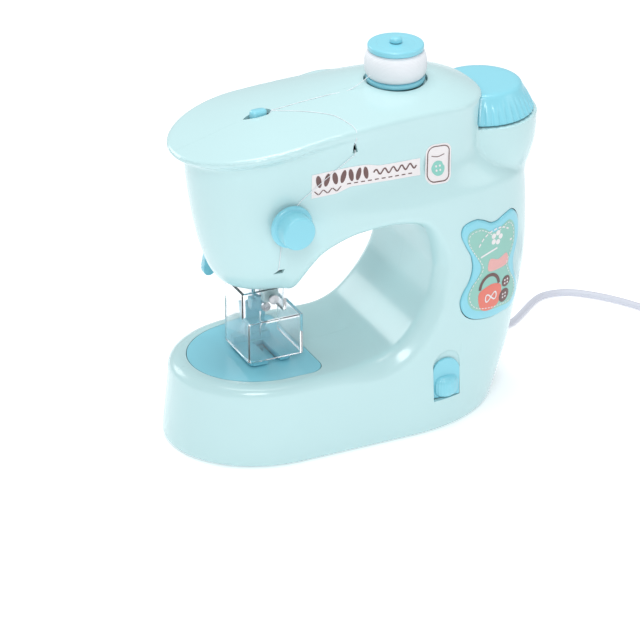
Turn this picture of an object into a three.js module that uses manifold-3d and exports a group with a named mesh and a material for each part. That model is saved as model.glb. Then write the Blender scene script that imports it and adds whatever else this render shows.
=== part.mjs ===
// Small electric sewing machine with a one-piece C-shaped look: two moulded shells,
// a lock-stitch mechanism inside, and a thin USB lead. Millimetres, +Z up.
// X runs from the needle (left) to the column (right), the front faces -Y.
// Everything is modelled from the needle axis, then moved so that the origin
// is under the middle of the machine.

import * as THREE from 'three';
import { mergeVertices } from 'three/addons/utils/BufferGeometryUtils.js';
import Module from 'manifold-3d';

const wasm = await Module();
wasm.setup();

// ---------- driving dimensions ----------

const NEEDLE_TO_CENTRE = 47.8;   // needle axis to the middle of the machine, along X
const FOOT_HEIGHT = 1;           // rubber feet below the shells
const WALL = 2.4;                // shell thickness
const SEAM = 0.15;               // half of the gap between the two shells
const GAP = 0.35;                // between fixed pieces that touch

const BASE_TOP = 41;             // work surface
const HEAD_BOTTOM = 78;
const EDGE_HEIGHT = 164;         // rim of the top surface where it is highest
const RIM_PEAK_X = 66;
const CROWN = 6;                 // how far the top surface domes above its rim

const MAIN_SHAFT_Z = 134;
const LOWER_SHAFT_Z = 21;
const SHAFT_R = 2;
const CRANK_X = 9.2;             // crank disc, beside the needle bar
const CRANK_THROW = 6.5;         // half of the needle's stroke
const ROD_LENGTH = 40;
const ROD_END_Z = MAIN_SHAFT_Z + CRANK_THROW - ROD_LENGTH;
const BAR_R = 2.2;               // needle bar
const BAR_BOTTOM = 71.4;
const BAR_TOP = 156;
const PRESSER_Y = 9.5;           // presser bar, behind the needle bar
const PRESSER_R = 2;
const LIFTER = [-8.5, 27.4, 100];  // pivot of the presser lifter, at its lever

const WHEEL_X = 116.2;
const WHEEL_Z = 147;             // underside of the hand wheel
const WHEEL_R = 26.2;
const WHEEL_TOP_R = 19.6;
const WHEEL_HEIGHT = 13.5;

const SPOOL_X = 71;
const SPOOL_FLOOR = 168.6;
const SPOOL_R = 14;

const KNOB_X = 1.7;
const KNOB_Z = 120;
const KNOB_R = 10.4;

const SWITCH_X = 80.2;
const SWITCH_Z = 24.8;
const SWITCH_R = 7.35;
const SWITCH_ARC = 4.75;         // centre of the slide's round end above SWITCH_Z
const SWITCH_TRAVEL = 4;

const GEAR_TEETH = 32;
const PINION_TEETH = 8;
const GEAR_MODULE = 1;
const BEVEL_TEETH = 12;
const BEVEL_R = 7.5;
const PULLEY_R = 6;
const PULLEY_X = 80.8;
const GEAR_X = PULLEY_X + 3.8;
const MOTOR_Z = MAIN_SHAFT_Z - ((GEAR_TEETH + PINION_TEETH) * GEAR_MODULE) / 2;

const FEET = [[-24, -20], [-24, 20], [102, -20], [102, 20]];
const SHELL_SCREWS = [[106, 62], [60, 148]];

// USB lead: it leaves the rear shell low down and runs on the table to its coil
const CORD_R = 1.75;
const CORD_EXIT = [110, 26.4, 9];
const CORD_DIRECTION = [0.94, 0.34, 0];
const CORD_ROUTE = [
  [123.6, 31.3, 9], [130, 33.7, 8.4], [137, 36, 6.4], [144, 36.8, 4], [152, 37.6, 2.2],
  [160.6, 40.2, 1.85], [169.5, 46.6, 1.85], [178.9, 54.2, 1.85], [187, 59.2, 1.85],
  [195.4, 60, 1.85], [204.4, 57, 1.85], [212.6, 50, 1.85], [219.8, 41.6, 1.85],
  [225.8, 32.4, 1.85], [231.2, 22, 1.85], [235.3, 13.1, 1.85],
];
const COIL_CENTRE = [263, 6, 0];
const COIL_R = 19.25;            // middle of the turns
const COIL_LAYERS = 2;
const COIL_COLUMNS = 4;
const CORD_TAIL = [
  [287.6, 31.4, 3.4], [287.2, 36, 2.3], [285.2, 41.4, 1.9], [281.6, 45.6, 1.9], [276.4, 47.6, 1.9],
];
const PLUG = [275.8, 47.7, 3];      // where the cord enters its plug, which points to -X

// ---------- colours ----------

const material = (color, roughness, metalness = 0, opacity = 1) => new THREE.MeshStandardMaterial({
  color, roughness, metalness, opacity, transparent: opacity < 1,
});
const MINT = material(0xc9ecec, 0.3);
const BLUE = material(0x86d8ea, 0.35);
const CLEAR = material(0xe8f2f4, 0.1, 0, 0.35);
const WHITE = material(0xf2f2f4, 0.7);
const LEAD = material(0xe2e2ee, 0.5);
const STEEL = material(0xb9bcc0, 0.3, 1);
const CHROME = material(0xd6d8da, 0.15, 1);
const BRASS = material(0xc8a04a, 0.35, 1);
const NYLON = material(0xf4efe0, 0.55);
const RUBBER = material(0xdadfe2, 0.85);
const BELT = material(0x2b2c2e, 0.9);
const DARK = material(0x35383c, 0.6);
const BOARD = material(0x2f6a4a, 0.6);

// ---------- small helpers ----------

const clamp01 = (t) => Math.min(1, Math.max(0, t));
const mix = (a, b, t) => a + (b - a) * t;
function smoothstep(a, b, t) {
  const u = clamp01((t - a) / (b - a));
  return u * u * (3 - 2 * u);
}
// value of a smooth curve through [x, value] pairs
function through(pairs, x) {
  const last = pairs.length - 1;
  if (x <= pairs[0][0]) return pairs[0][1];
  if (x >= pairs[last][0]) return pairs[last][1];
  let i = 0;
  while (x > pairs[i + 1][0]) i += 1;
  const slope = (a, b) => (pairs[b][1] - pairs[a][1]) / (pairs[b][0] - pairs[a][0]);
  const m0 = slope(Math.max(i - 1, 0), i + 1);
  const m1 = slope(i, Math.min(i + 2, last));
  const d = pairs[i + 1][0] - pairs[i][0];
  const t = (x - pairs[i][0]) / d;
  const t2 = t * t;
  const t3 = t2 * t;
  return (2 * t3 - 3 * t2 + 1) * pairs[i][1] + (t3 - 2 * t2 + t) * d * m0
    + (3 * t2 - 2 * t3) * pairs[i + 1][1] + (t3 - t2) * d * m1;
}

const group = new THREE.Group();
group.position.x = -NEEDLE_TO_CENTRE;

function add(name, geometry, look, x = 0, y = 0, z = 0) {
  const mesh = new THREE.Mesh(geometry, look);
  mesh.name = name;
  mesh.position.set(x, y, z);
  group.add(mesh);
  return mesh;
}

// ---------- solids ----------

function toSolid(geometry) {
  const bare = geometry.clone();
  bare.deleteAttribute('normal');
  bare.deleteAttribute('uv');
  const merged = mergeVertices(bare, 1e-4);
  const index = Array.from(merged.index.array);
  const triangles = [];
  for (let i = 0; i < index.length; i += 3) {
    const [a, b, c] = index.slice(i, i + 3);
    if (a !== b && b !== c && c !== a) triangles.push(a, b, c);
  }
  return new wasm.Manifold(new wasm.Mesh({
    numProp: 3,
    vertProperties: new Float32Array(merged.attributes.position.array),
    triVerts: new Uint32Array(triangles),
  }));
}

function toGeometry(solid) {
  const mesh = solid.getMesh();
  const geometry = new THREE.BufferGeometry();
  geometry.setAttribute('position', new THREE.BufferAttribute(mesh.vertProperties, 3));
  geometry.setIndex(new THREE.BufferAttribute(mesh.triVerts, 1));
  return geometry;
}

function join(...geometries) {
  return toGeometry(geometries.map(toSolid).reduce((a, b) => a.add(b)));
}

function cut(geometry, ...tools) {
  return toGeometry(tools.map(toSolid).reduce((a, b) => a.subtract(b), toSolid(geometry)));
}

function box(x0, x1, y0, y1, z0, z1) {
  const geometry = new THREE.BoxGeometry(x1 - x0, y1 - y0, z1 - z0);
  return geometry.translate((x0 + x1) / 2, (y0 + y1) / 2, (z0 + z1) / 2);
}

// solid of revolution about Z from [radius, z] pairs that start and end on the axis
// (or close on themselves); the pairs run upwards on the outside
function turned(pairs, segments = 24) {
  const points = pairs.map(([r, z]) => new THREE.Vector2(r, z));
  return new THREE.LatheGeometry(points, segments).rotateX(Math.PI / 2);
}

const rod = (r, z0, z1, segments = 20) => turned([[0, z0], [r, z0], [r, z1], [0, z1]], segments);

function ring(rIn, rOut, z0, z1, segments = 24) {
  return turned([[rIn, z0], [rOut, z0], [rOut, z1], [rIn, z1], [rIn, z0]], segments);
}

// turns geometry made about Z so that +Z points along +X or along -Y
const alongX = (geometry) => geometry.rotateY(Math.PI / 2);
const alongFront = (geometry) => geometry.rotateX(Math.PI / 2);

// turns a plate drawn in X and Y, thick along Z, so that it is drawn in Y and Z
function acrossX(geometry) {
  const columns = [new THREE.Vector3(0, 1, 0), new THREE.Vector3(0, 0, 1), new THREE.Vector3(1, 0, 0)];
  return geometry.applyMatrix4(new THREE.Matrix4().makeBasis(...columns));
}

// a plate from an outline in X and Z, between two depths y0 < y1
function plateXZ(shape, y0, y1, steps = 8) {
  const options = { depth: y1 - y0, bevelEnabled: false, curveSegments: steps };
  return new THREE.ExtrudeGeometry(shape, options).rotateX(Math.PI / 2).translate(0, y1, 0);
}

// a plate from an outline in X and Y, between two heights
function plateXY(shape, z0, z1, steps = 8) {
  const options = { depth: z1 - z0, bevelEnabled: false, curveSegments: steps };
  return new THREE.ExtrudeGeometry(shape, options).translate(0, 0, z0);
}

// a bent wire or tube along a smooth curve
function tube(points, r, steps, sides = 8) {
  const path = new THREE.CatmullRomCurve3(points.map((p) => new THREE.Vector3(...p)), false, 'centripetal');
  const section = new THREE.Shape();
  section.absarc(0, 0, r, 0, Math.PI * 2);
  const options = { steps, extrudePath: path, bevelEnabled: false, curveSegments: sides / 2 };
  return new THREE.ExtrudeGeometry(section, options);
}

// coil spring about Z, with closed ends
function coilSpring(r, wire, z0, z1, turns) {
  const points = [];
  const perTurn = 8;
  for (let i = 0; i <= turns * perTurn; i += 1) {
    const a = (i / perTurn) * Math.PI * 2;
    const z = mix(z0 + wire, z1 - wire, i / (turns * perTurn));
    points.push([r * Math.cos(a), r * Math.sin(a), z]);
  }
  return tube(points, wire, turns * perTurn, 6);
}

// spur gear outline with straight-sided teeth
function gearShape(teeth, module, bore, backlash = 0.15) {
  const shape = new THREE.Shape();
  const pitch = (teeth * module) / 2;
  const half = Math.PI / teeth / 2 - backlash / pitch / 2;
  const corners = [
    [pitch - 1.2 * module, -1.5 * half],
    [pitch + 0.85 * module, -0.5 * half],
    [pitch + 0.85 * module, 0.5 * half],
    [pitch - 1.2 * module, 1.5 * half],
  ];
  for (let i = 0; i < teeth; i += 1) {
    const middle = (i / teeth) * Math.PI * 2;
    corners.forEach(([r, a], k) => {
      const point = [r * Math.cos(middle + a), r * Math.sin(middle + a)];
      if (i === 0 && k === 0) shape.moveTo(...point);
      else shape.lineTo(...point);
    });
  }
  if (bore > 0) {
    const hole = new THREE.Path();
    hole.absarc(0, 0, bore, 0, Math.PI * 2, true);
    shape.holes.push(hole);
  }
  return shape;
}

// ---------- the body's form ----------
// The outside is one closed loft of plan outlines stacked from the base to the
// domed top. The throat opening, the wheel pocket and the holes are cut from it,
// and the same loft drawn WALL smaller is its hollow inside.

// opening under the arm, from the head's lower corner round to the work surface
const THROAT = [
  [9, HEAD_BOTTOM], [12.5, 88], [16.5, 95.5], [21.5, 101.5], [31.5, 107.3], [41, 109.8],
  [53, 110.8], [64, 109.4], [70, 106], [74, 98], [76.5, 87], [76, 80], [73, 68.5], [66.5, 57],
  [57.5, 47.5], [48.5, 43], [38, 41.3], [26, BASE_TOP],
];

// the head is a bowl that narrows to the needle: [height, radius]
const BOWL = [
  [74, 9], [78, 13], [82, 21], [88, 26], [95, 29], [105, 32], [116, 34.3], [126, 35.8],
  [136, 37], [150, 38],
];

// where the column's right side stands: [height, x]
const COLUMN_EDGE = [
  [0, 120], [6, 122.5], [20, 128], [30, 131.5], [50, 135.8], [70, 138.6], [98, 138.8],
  [116, 137.6], [124, 136.6], [134, 134],
];

// bowl below the hand wheel: [height, radius]
const CUP = [[98, 10], [104, 15], [112, 20], [118, 22.8], [124, 25], [132, 26.9], [139, 27.6]];

const LIP = { x: 2, reach: 46, depth: 38.6 };        // rim of the top, left of x
const ARM_END = { x: 76, reach: 36, depth: 33.8 };     // rim of the top, right of x
const BASE_LEFT = { x: 2, reach: 47, depth: 41 };
const BASE_RIGHT = { x: 62, depth: 41 };

// rim height of the top surface: level along the arm, falling towards the head's tip
const rimHeight = (x) => EDGE_HEIGHT - 0.0009 * (RIM_PEAK_X - x) ** 2;

// plan outline at height z, which is `above` the rim there, near this x
function outline(x, z, above, inset) {
  const toHead = smoothstep(44, 68, z);
  const toArm = smoothstep(118, 140, z);
  const lean = mix(1.08, 1, smoothstep(-6, 44, z));
  const slim = 2 * smoothstep(45, 90, z);
  const lip = inset > 0 ? 0.4 : 1;
  const flare = lip / (1 + Math.exp(-(above + 4.6) / 1.15));
  const bowl = through(BOWL, z) / LIP.reach;
  const head = bowl + (1 - bowl) * flare;
  const side = 0.9 + 0.06 * smoothstep(116, 150, z);
  const arm = side + (1 - side) * (lip / (1 + Math.exp(-(above + 5) / 2.5)));
  const fill = mix(head, arm, smoothstep(-6, 58, x));
  return {
    left: mix(BASE_LEFT.x, LIP.x, toHead),
    reachLeft: mix(BASE_LEFT.reach * lean, LIP.reach * fill, toHead) - inset,
    depthLeft: mix(BASE_LEFT.depth * lean - slim, LIP.depth * fill, toHead) - inset,
    right: mix(BASE_RIGHT.x, ARM_END.x, toArm),
    reachRight: mix(through(COLUMN_EDGE, z) - BASE_RIGHT.x, ARM_END.reach, toArm) - inset,
    depthRight: mix(BASE_RIGHT.depth * lean - slim, ARM_END.depth * fill, toArm) - inset,
    power: mix(2.05, 2.3, smoothstep(45, 90, z)),
  };
}

// point of an outline; u runs 0..1 round the left end, 1..2 along the side and
// 2..3 round the right end, all on the front
function outlinePoint(o, u) {
  if (u <= 1) {
    const a = (u * Math.PI) / 2;
    return [o.left - o.reachLeft * Math.cos(a), -o.depthLeft * Math.sin(a)];
  }
  if (u <= 2) return [mix(o.left, o.right, u - 1), -mix(o.depthLeft, o.depthRight, u - 1)];
  const a = ((u - 2) * Math.PI) / 2;
  return [
    o.right + o.reachRight * Math.sin(a) ** (2 / o.power),
    -o.depthRight * Math.max(0, Math.cos(a)) ** (2 / o.power),
  ];
}

// point of the skin on the level whose height at x is heightAt(x)
function skinPoint(u, heightAt, inset) {
  let point = [u < 1 ? -30 : u * 40, 0];
  for (let i = 0; i < 6; i += 1) {
    const x = point[0];
    const z = heightAt(x);
    point = outlinePoint(outline(x, z, z - rimHeight(x) + inset, inset), u);
  }
  return [point[0], point[1], heightAt(point[0])];
}

// height of the domed top over a rim point scaled to a share of its depth
function crown(u, share, inset) {
  const end = u < 1 ? Math.cos((u * Math.PI) / 2) ** 2 : Math.max(0, u - 2) ** 3;
  return (CROWN - inset * 0.2) * (1 - share * share) * (1 - 0.85 * end) * mix(0.67, 1, u - 1);
}

const LOW_LEVELS = [10, 25, BASE_TOP, 56, 74, HEAD_BOTTOM, 82, 88, 96, 106, 118, 125];
const RIM_LEVELS = [-26, -14, -8, -6, -4.6, -3.2, -0.4];
const CROWN_SHARES = [0.97, 0.75, 0.4, 0];

// closed loft of the whole body, `inset` smaller all round
function envelope(inset, roundSteps, sideSteps) {
  const stops = [];
  for (let i = 0; i < roundSteps; i += 1) stops.push(i / roundSteps);
  for (let i = 0; i < sideSteps; i += 1) stops.push(1 + i / sideSteps);
  for (let i = 0; i <= roundSteps; i += 1) stops.push(2 + i / roundSteps);
  const floor = FOOT_HEIGHT + inset;
  const levels = [floor, ...LOW_LEVELS].map((z) => () => z);
  RIM_LEVELS.forEach((h) => levels.push((x) => rimHeight(x) + h - inset));
  const rows = levels.map((heightAt) => stops.map((u) => skinPoint(u, heightAt, inset)));
  const rim = rows[rows.length - 1];
  CROWN_SHARES.forEach((share) => rows.push(rim.map(([x, y, z], k) => (
    [x, y * share, z + 0.4 + crown(stops[k], share, inset)]))));
  const positions = [];
  const triangle = (...corners) => corners.forEach((p) => positions.push(...p));
  const mirrored = ([x, y, z]) => [x, -y, z];
  const face = (a, b, c) => {
    triangle(a, b, c);
    triangle(mirrored(a), mirrored(c), mirrored(b));
  };
  const middle = [(rows[0][0][0] + rows[0][stops.length - 1][0]) / 2, 0, floor];
  for (let k = 0; k < stops.length - 1; k += 1) {
    face(rows[0][k + 1], rows[0][k], middle);
    for (let i = 0; i < rows.length - 1; i += 1) {
      face(rows[i][k], rows[i][k + 1], rows[i + 1][k + 1]);
      face(rows[i][k], rows[i + 1][k + 1], rows[i + 1][k]);
    }
  }
  const geometry = new THREE.BufferGeometry();
  geometry.setAttribute('position', new THREE.Float32BufferAttribute(positions, 3));
  return geometry;
}

// half the body's depth at a place on its side
function depthAt(x, z) {
  const o = outline(x, z, z - rimHeight(x), 0);
  if (x < o.left) {
    return o.depthLeft * Math.sqrt(Math.max(0, 1 - ((o.left - x) / o.reachLeft) ** 2));
  }
  if (x > o.right) {
    const g = Math.min(1, (x - o.right) / o.reachRight);
    return o.depthRight * (1 - g ** o.power) ** (1 / o.power);
  }
  return mix(o.depthLeft, o.depthRight, (x - o.left) / (o.right - o.left));
}

// cutter for the opening under the arm: straight through, then flared where it
// meets the front and rear faces, which leaves a chamfer round it
function throatCutter(grow) {
  const curve = new THREE.SplineCurve(THROAT.map((p) => new THREE.Vector2(...p)));
  const edge = curve.getPoints(28).map((p) => [p.x, p.y]);
  const line = [[-90, BASE_TOP], [-90, HEAD_BOTTOM], [-30, HEAD_BOTTOM], ...edge, [-30, BASE_TOP]];
  const count = line.length;
  const normals = line.map((p, i) => {
    const before = line[(i + count - 1) % count];
    const after = line[(i + 1) % count];
    const dx = after[0] - before[0];
    const dz = after[1] - before[1];
    const length = Math.hypot(dx, dz);
    return [-dz / length, dx / length];
  });
  const rings = [-2, -1, 1, 2].map((row) => line.map(([x, z], i) => {
    const low = smoothstep(112, 84, z) * smoothstep(18, 48, x);
    const chamfer = mix(3, 6.4, low);
    const flare = mix(5, 12, low);
    const knee = depthAt(clamp01((x + 40) / 200) * 200 - 40, z) - chamfer;
    const out = grow + (Math.abs(row) === 2 ? flare : 0);
    const y = Math.sign(row) * (Math.abs(row) === 2 ? knee + flare : knee);
    return [x + normals[i][0] * out, y, z + normals[i][1] * out];
  }));
  rings.unshift(rings[0].map(([x, , z]) => [x, -70, z]));
  rings.push(rings[rings.length - 1].map(([x, , z]) => [x, 70, z]));
  const positions = [];
  for (let r = 0; r < rings.length - 1; r += 1) {
    for (let i = 0; i < count; i += 1) {
      const k = (i + 1) % count;
      const [a, b, c, d] = [rings[r][i], rings[r][k], rings[r + 1][k], rings[r + 1][i]];
      [a, b, c, a, c, d].forEach((p) => positions.push(...p));
    }
  }
  const flat = rings[0].map(([x, , z]) => new THREE.Vector2(x, z));
  THREE.ShapeUtils.triangulateShape(flat, []).forEach(([a, b, c]) => {
    const first = rings[0];
    const last = rings[rings.length - 1];
    [first[a], first[b], first[c]].forEach((p) => positions.push(...p));
    [last[a], last[c], last[b]].forEach((p) => positions.push(...p));
  });
  const geometry = new THREE.BufferGeometry();
  geometry.setAttribute('position', new THREE.Float32BufferAttribute(positions, 3));
  return geometry;
}

const atWheel = (geometry) => geometry.translate(WHEEL_X, 0, 0);

function cupSolid(inset) {
  const side = CUP.map(([z, r]) => [Math.max(r - inset, 1), z]);
  const top = WHEEL_Z + 1 - inset * 1.3;
  return atWheel(turned([[0, 96], ...side, [27.9 - inset, top], [0, top]], 40));
}

// room for the wheel: it turns in a slot in the arm's end, under the top surface
function pocket(grow) {
  const top = WHEEL_Z + WHEEL_HEIGHT + 0.7 + grow;
  return atWheel(rod(WHEEL_R + 1.2 + grow, WHEEL_Z - 0.8 - grow, top, 40));
}

const outside = toSolid(envelope(0, 7, 6)).add(toSolid(cupSolid(0)))
  .subtract(toSolid(throatCutter(0))).subtract(toSolid(pocket(0)));
const inside = toSolid(envelope(WALL, 4, 3)).add(toSolid(cupSolid(WALL)))
  .subtract(toSolid(throatCutter(WALL))).subtract(toSolid(pocket(WALL)));

// how far the rear wall's inner face is from the middle plane
const rearWall = (x, z) => depthAt(x, z) - WALL - GAP;

// ---------- outlines of what is let into the shells ----------

// wavy panel on the column's front, in X and Z
function panelShape(grow) {
  const points = [
    [89.4, 104.5], [95.8, 106], [101, 104.4], [105.5, 101.9], [109.5, 101.6], [114.6, 103.2],
    [120, 103.8], [124.2, 99.5], [125.8, 92], [124.8, 84.5], [122.6, 77], [123.4, 69.5],
    [127, 61], [127.8, 53.5], [123.4, 49], [115, 49.4], [105.2, 50.4], [94.8, 53.5],
    [89.4, 58], [87.4, 64], [89, 69], [92.8, 74.5], [94.6, 81], [93.6, 87.5], [90.3, 93.8],
    [87.8, 100],
  ];
  const middle = [107, 78];
  const grown = points.map(([x, z]) => {
    const d = Math.hypot(x - middle[0], z - middle[1]);
    return new THREE.Vector2(x + ((x - middle[0]) / d) * grow, z + ((z - middle[1]) / d) * grow);
  });
  grown.push(grown[0].clone());
  return new THREE.Shape(new THREE.SplineCurve(grown).getPoints(60).slice(0, 60));
}

// D-shaped power slide and the taller window that it slides in
function switchShape(grow, travel) {
  const shape = new THREE.Shape();
  const half = SWITCH_R + grow;
  const arc = SWITCH_Z + SWITCH_ARC + travel;
  shape.moveTo(SWITCH_X - half, SWITCH_Z - 8.5 - grow);
  shape.lineTo(SWITCH_X + half, SWITCH_Z - 8.5 - grow);
  shape.lineTo(SWITCH_X + half, arc);
  shape.absarc(SWITCH_X, arc, half, 0, Math.PI);
  return shape;
}

function plateShape(grow) {
  const shape = new THREE.Shape();
  const depth = 32 + grow;
  const right = 20 + grow;
  shape.moveTo(right - 8, -depth);
  shape.absarc(right - 8, -depth + 8, 8, -Math.PI / 2, 0);
  shape.absarc(right - 8, depth - 8, 8, 0, Math.PI / 2);
  shape.absellipse(0, 0, 36 + grow, depth, Math.PI / 2, Math.PI * 1.5);
  return shape;
}

function floorShape(grow) {
  const shape = new THREE.Shape();
  const depth = 33 + grow;
  shape.moveTo(60, -depth);
  shape.absellipse(78, 0, 36 + grow, depth, -Math.PI / 2, Math.PI / 2);
  shape.absellipse(4, 0, 36 + grow, depth, Math.PI / 2, Math.PI * 1.5);
  return shape;
}

// pointed oval hole over the needle bar
function eyeShape() {
  const shape = new THREE.Shape();
  shape.moveTo(-7.5, 0);
  shape.quadraticCurveTo(-2.5, -3.6, 2, -3.4);
  shape.absarc(3, 0, 3.4, -Math.PI / 2, Math.PI / 2);
  shape.quadraticCurveTo(-2.5, 3.6, -7.5, 0);
  return shape;
}

// ---------- shells ----------

const openings = [
  plateXZ(panelShape(0), -60, -10, 4),
  plateXZ(switchShape(GAP, SWITCH_TRAVEL), -60, -30),
  plateXY(plateShape(GAP), BASE_TOP - 6, BASE_TOP + 6, 16),
  plateXY(floorShape(GAP), -2, FOOT_HEIGHT + WALL + 0.4, 14),
  plateXY(eyeShape(), 150, 175, 5),
  rod(SPOOL_R + 1.2, 158, 180, 32).translate(SPOOL_X, 0, 0),
  rod(BAR_R + 0.4, 70, 90),
  rod(PRESSER_R + 0.4, 70, 90).translate(0, PRESSER_Y, 0),
  alongFront(rod(2.6, 20, 45)).translate(KNOB_X, 0, KNOB_Z),
  atWheel(rod(SHAFT_R + 0.4, WHEEL_Z - 6, WHEEL_Z + 1)),
  alongFront(rod(2.7, -40, -15)).translate(LIFTER[0], 0, LIFTER[2]),
  alongCord(rod(CORD_R + 1.8, -12, 12, 16)),
  box(33.2, 34.8, -60, -20, 151.4, 156.4),
  box(-3.6, 1.8, -60, -12, 92.4, 94.4),
];
SHELL_SCREWS.forEach(([x, z]) => {
  const face = depthAt(x, z);
  openings.push(alongFront(rod(1.6, -60, -face + 14, 12)).translate(x, 0, z));
  openings.push(alongFront(rod(3, -60, 1.5 - face, 16)).translate(x, 0, z));
});

const rearLug = new THREE.SphereGeometry(1, 16, 10).scale(9, 3.4, 2.6).translate(47, 33.6, 162);
// saddle ribs that hold the motor
const motorRibs = [GEAR_X + 9, GEAR_X + 22].map((x) => {
  const rib = box(-1, 1, 1, rearWall(x, MOTOR_Z) + 1, -8, 8);
  const seat = alongX(rod(10 + GAP, -4, 4, 28));
  return cut(rib, seat).translate(x, 0, MOTOR_Z);
});
const posts = SHELL_SCREWS.map(([x, z]) => {
  const face = depthAt(x, z);
  return alongFront(rod(3.2, -face + 1.2, -face + 13, 16)).translate(x, 0, z);
});
const guardBoss = box(-1.6, 5.6, -8.6, -4.6, 70.6, HEAD_BOTTOM + 2);
const guardPilot = alongFront(rod(1.5, 3, 10, 12)).translate(2, 0, 72.8);
let shell = outside.subtract(inside).add(toSolid(guardBoss)).subtract(toSolid(guardPilot));
[rearLug, ...motorRibs, ...posts].forEach((piece) => { shell = shell.add(toSolid(piece)); });
openings.forEach((tool) => { shell = shell.subtract(toSolid(tool)); });
// floor of the shallow well that the power slide runs in
const wellFloor = -depthAt(SWITCH_X, SWITCH_Z) + 2.3;
const wellSides = [SWITCH_X - SWITCH_R - 1.6, SWITCH_X + SWITCH_R + 1.6];
const well = box(...wellSides, wellFloor, wellFloor + 0.8, SWITCH_Z - 10, SWITCH_Z + 17.6);
shell = shell.add(toSolid(well));

const rearHalf = toSolid(box(-90, 200, -SEAM, 90, -10, 210));
const frontHalf = toSolid(box(-90, 200, -90, SEAM, -10, 210));
add('front_shell', toGeometry(shell.subtract(rearHalf)), MINT);
add('rear_shell', toGeometry(shell.subtract(frontHalf)), MINT);

const panelPlug = outside.intersect(toSolid(plateXZ(panelShape(-0.5), -60, -10, 4)));
add('side_panel', toGeometry(panelPlug.subtract(inside)), BLUE);

// ---------- base ----------

add('base_plate', plateXY(floorShape(0), FOOT_HEIGHT, FOOT_HEIGHT + WALL, 14), MINT);
FEET.forEach(([x, y], i) => {
  const foot = rod(5, 0, FOOT_HEIGHT - 0.3, 16);
  add(`foot_${i + 1}`, foot, RUBBER, x, y, 0);
});
SHELL_SCREWS.forEach(([x, z], i) => {
  const screw = turned([[0, 0], [1.2, 0.6], [1.2, 11], [2.6, 11], [2.6, 12.1], [0, 12.1]], 12);
  screw.rotateX(-Math.PI / 2);
  add(`shell_screw_${i + 1}`, screw, STEEL, x, depthAt(x, z) - 12.3, z);
});

const feedSlots = [-1, 1].map((side) => (
  box(side * 4.5 - 1.6, side * 4.5 + 1.6, -9, 11, BASE_TOP - 5, BASE_TOP + 5)));
const plateSlab = plateXY(plateShape(0), BASE_TOP - 2.2, BASE_TOP, 16);
add('needle_plate', cut(plateSlab, rod(1.6, 30, 50, 12), ...feedSlots), BLUE);

const tooth = (side, i) => box(side * 4.5 - 1, side * 4.5 + 1, i * 2.6 - 5.4, i * 2.6 - 4,
  BASE_TOP - 1, BASE_TOP + 0.5);
const feedTeeth = [-1, 1].flatMap((side) => [0, 1, 2, 3, 4].map((i) => tooth(side, i)));
const feedRails = [-1, 1].map((side) => (
  box(side * 4.5 - 1, side * 4.5 + 1, -6, 8.5, BASE_TOP - 6.5, BASE_TOP - 0.6)));
const feedBridge = box(-5.5, 5.5, 5, 8.5, BASE_TOP - 6.5, BASE_TOP - 3.6);
add('feed_dog', join(feedBridge, ...feedRails, ...feedTeeth), STEEL);

// ---------- lower shaft, hook and bobbin ----------

add('lower_shaft', alongX(rod(SHAFT_R, 5.6, PULLEY_X + 3, 16)), STEEL, 0, 0, LOWER_SHAFT_Z);

function pulley() {
  const r = PULLEY_R;
  return alongX(turned([
    [SHAFT_R + GAP, -1.95], [r + 2, -1.95], [r + 2, -1.5], [r, -1.5], [r, 1.5], [r + 2, 1.5],
    [r + 2, 1.95], [SHAFT_R + GAP, 1.95], [SHAFT_R + GAP, -1.95],
  ], 24));
}
add('lower_pulley', pulley(), NYLON, PULLEY_X, 0, LOWER_SHAFT_Z);

function beltShape() {
  const loop = (r, z0, z1, path) => {
    path.absarc(0, z0, r, Math.PI, Math.PI * 2);
    path.absarc(0, z1, r, 0, Math.PI);
    return path;
  };
  const shape = loop(PULLEY_R + 1.6, LOWER_SHAFT_Z, MAIN_SHAFT_Z, new THREE.Shape());
  const holePoints = loop(PULLEY_R + 0.3, LOWER_SHAFT_Z, MAIN_SHAFT_Z, new THREE.Path());
  shape.holes.push(new THREE.Path(holePoints.getPoints(12).reverse()));
  return shape;
}
const beltGeometry = new THREE.ExtrudeGeometry(beltShape(), {
  depth: 2.4, bevelEnabled: false, curveSegments: 12,
});
add('drive_belt', acrossX(beltGeometry), BELT, PULLEY_X - 1.2, 0, 0);

function hookGeometry() {
  const cup = turned([
    [SHAFT_R + GAP, 5], [10.5, 5], [10.5, 2.2], [11.5, 2.2], [11.5, 7],
    [5, 7], [5, 10.5], [SHAFT_R + GAP, 10.5], [SHAFT_R + GAP, 5],
  ], 28);
  const notch = box(-4, 5.6, 4.5, 13, -1, 8);
  return alongX(cut(cup, notch));
}
add('hook', hookGeometry(), CHROME, 0, 0, LOWER_SHAFT_Z);
const caseRing = turned([
  [8.7, -9.6], [9.6, -9.6], [9.6, 1.4], [1.2, 1.4], [1.2, 0.4], [8.7, 0.4], [8.7, -9.6],
], 28);
add('bobbin_case', alongX(caseRing), CHROME, -1, 0, LOWER_SHAFT_Z);
const bobbinProfile = turned([
  [1.4, -9], [8.2, -9], [8.2, -8.2], [3, -8.2], [3, -1], [8.2, -1], [8.2, -0.2],
  [1.4, -0.2], [1.4, -9],
], 28);
add('bobbin', alongX(bobbinProfile), NYLON, -1, 0, LOWER_SHAFT_Z);
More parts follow.
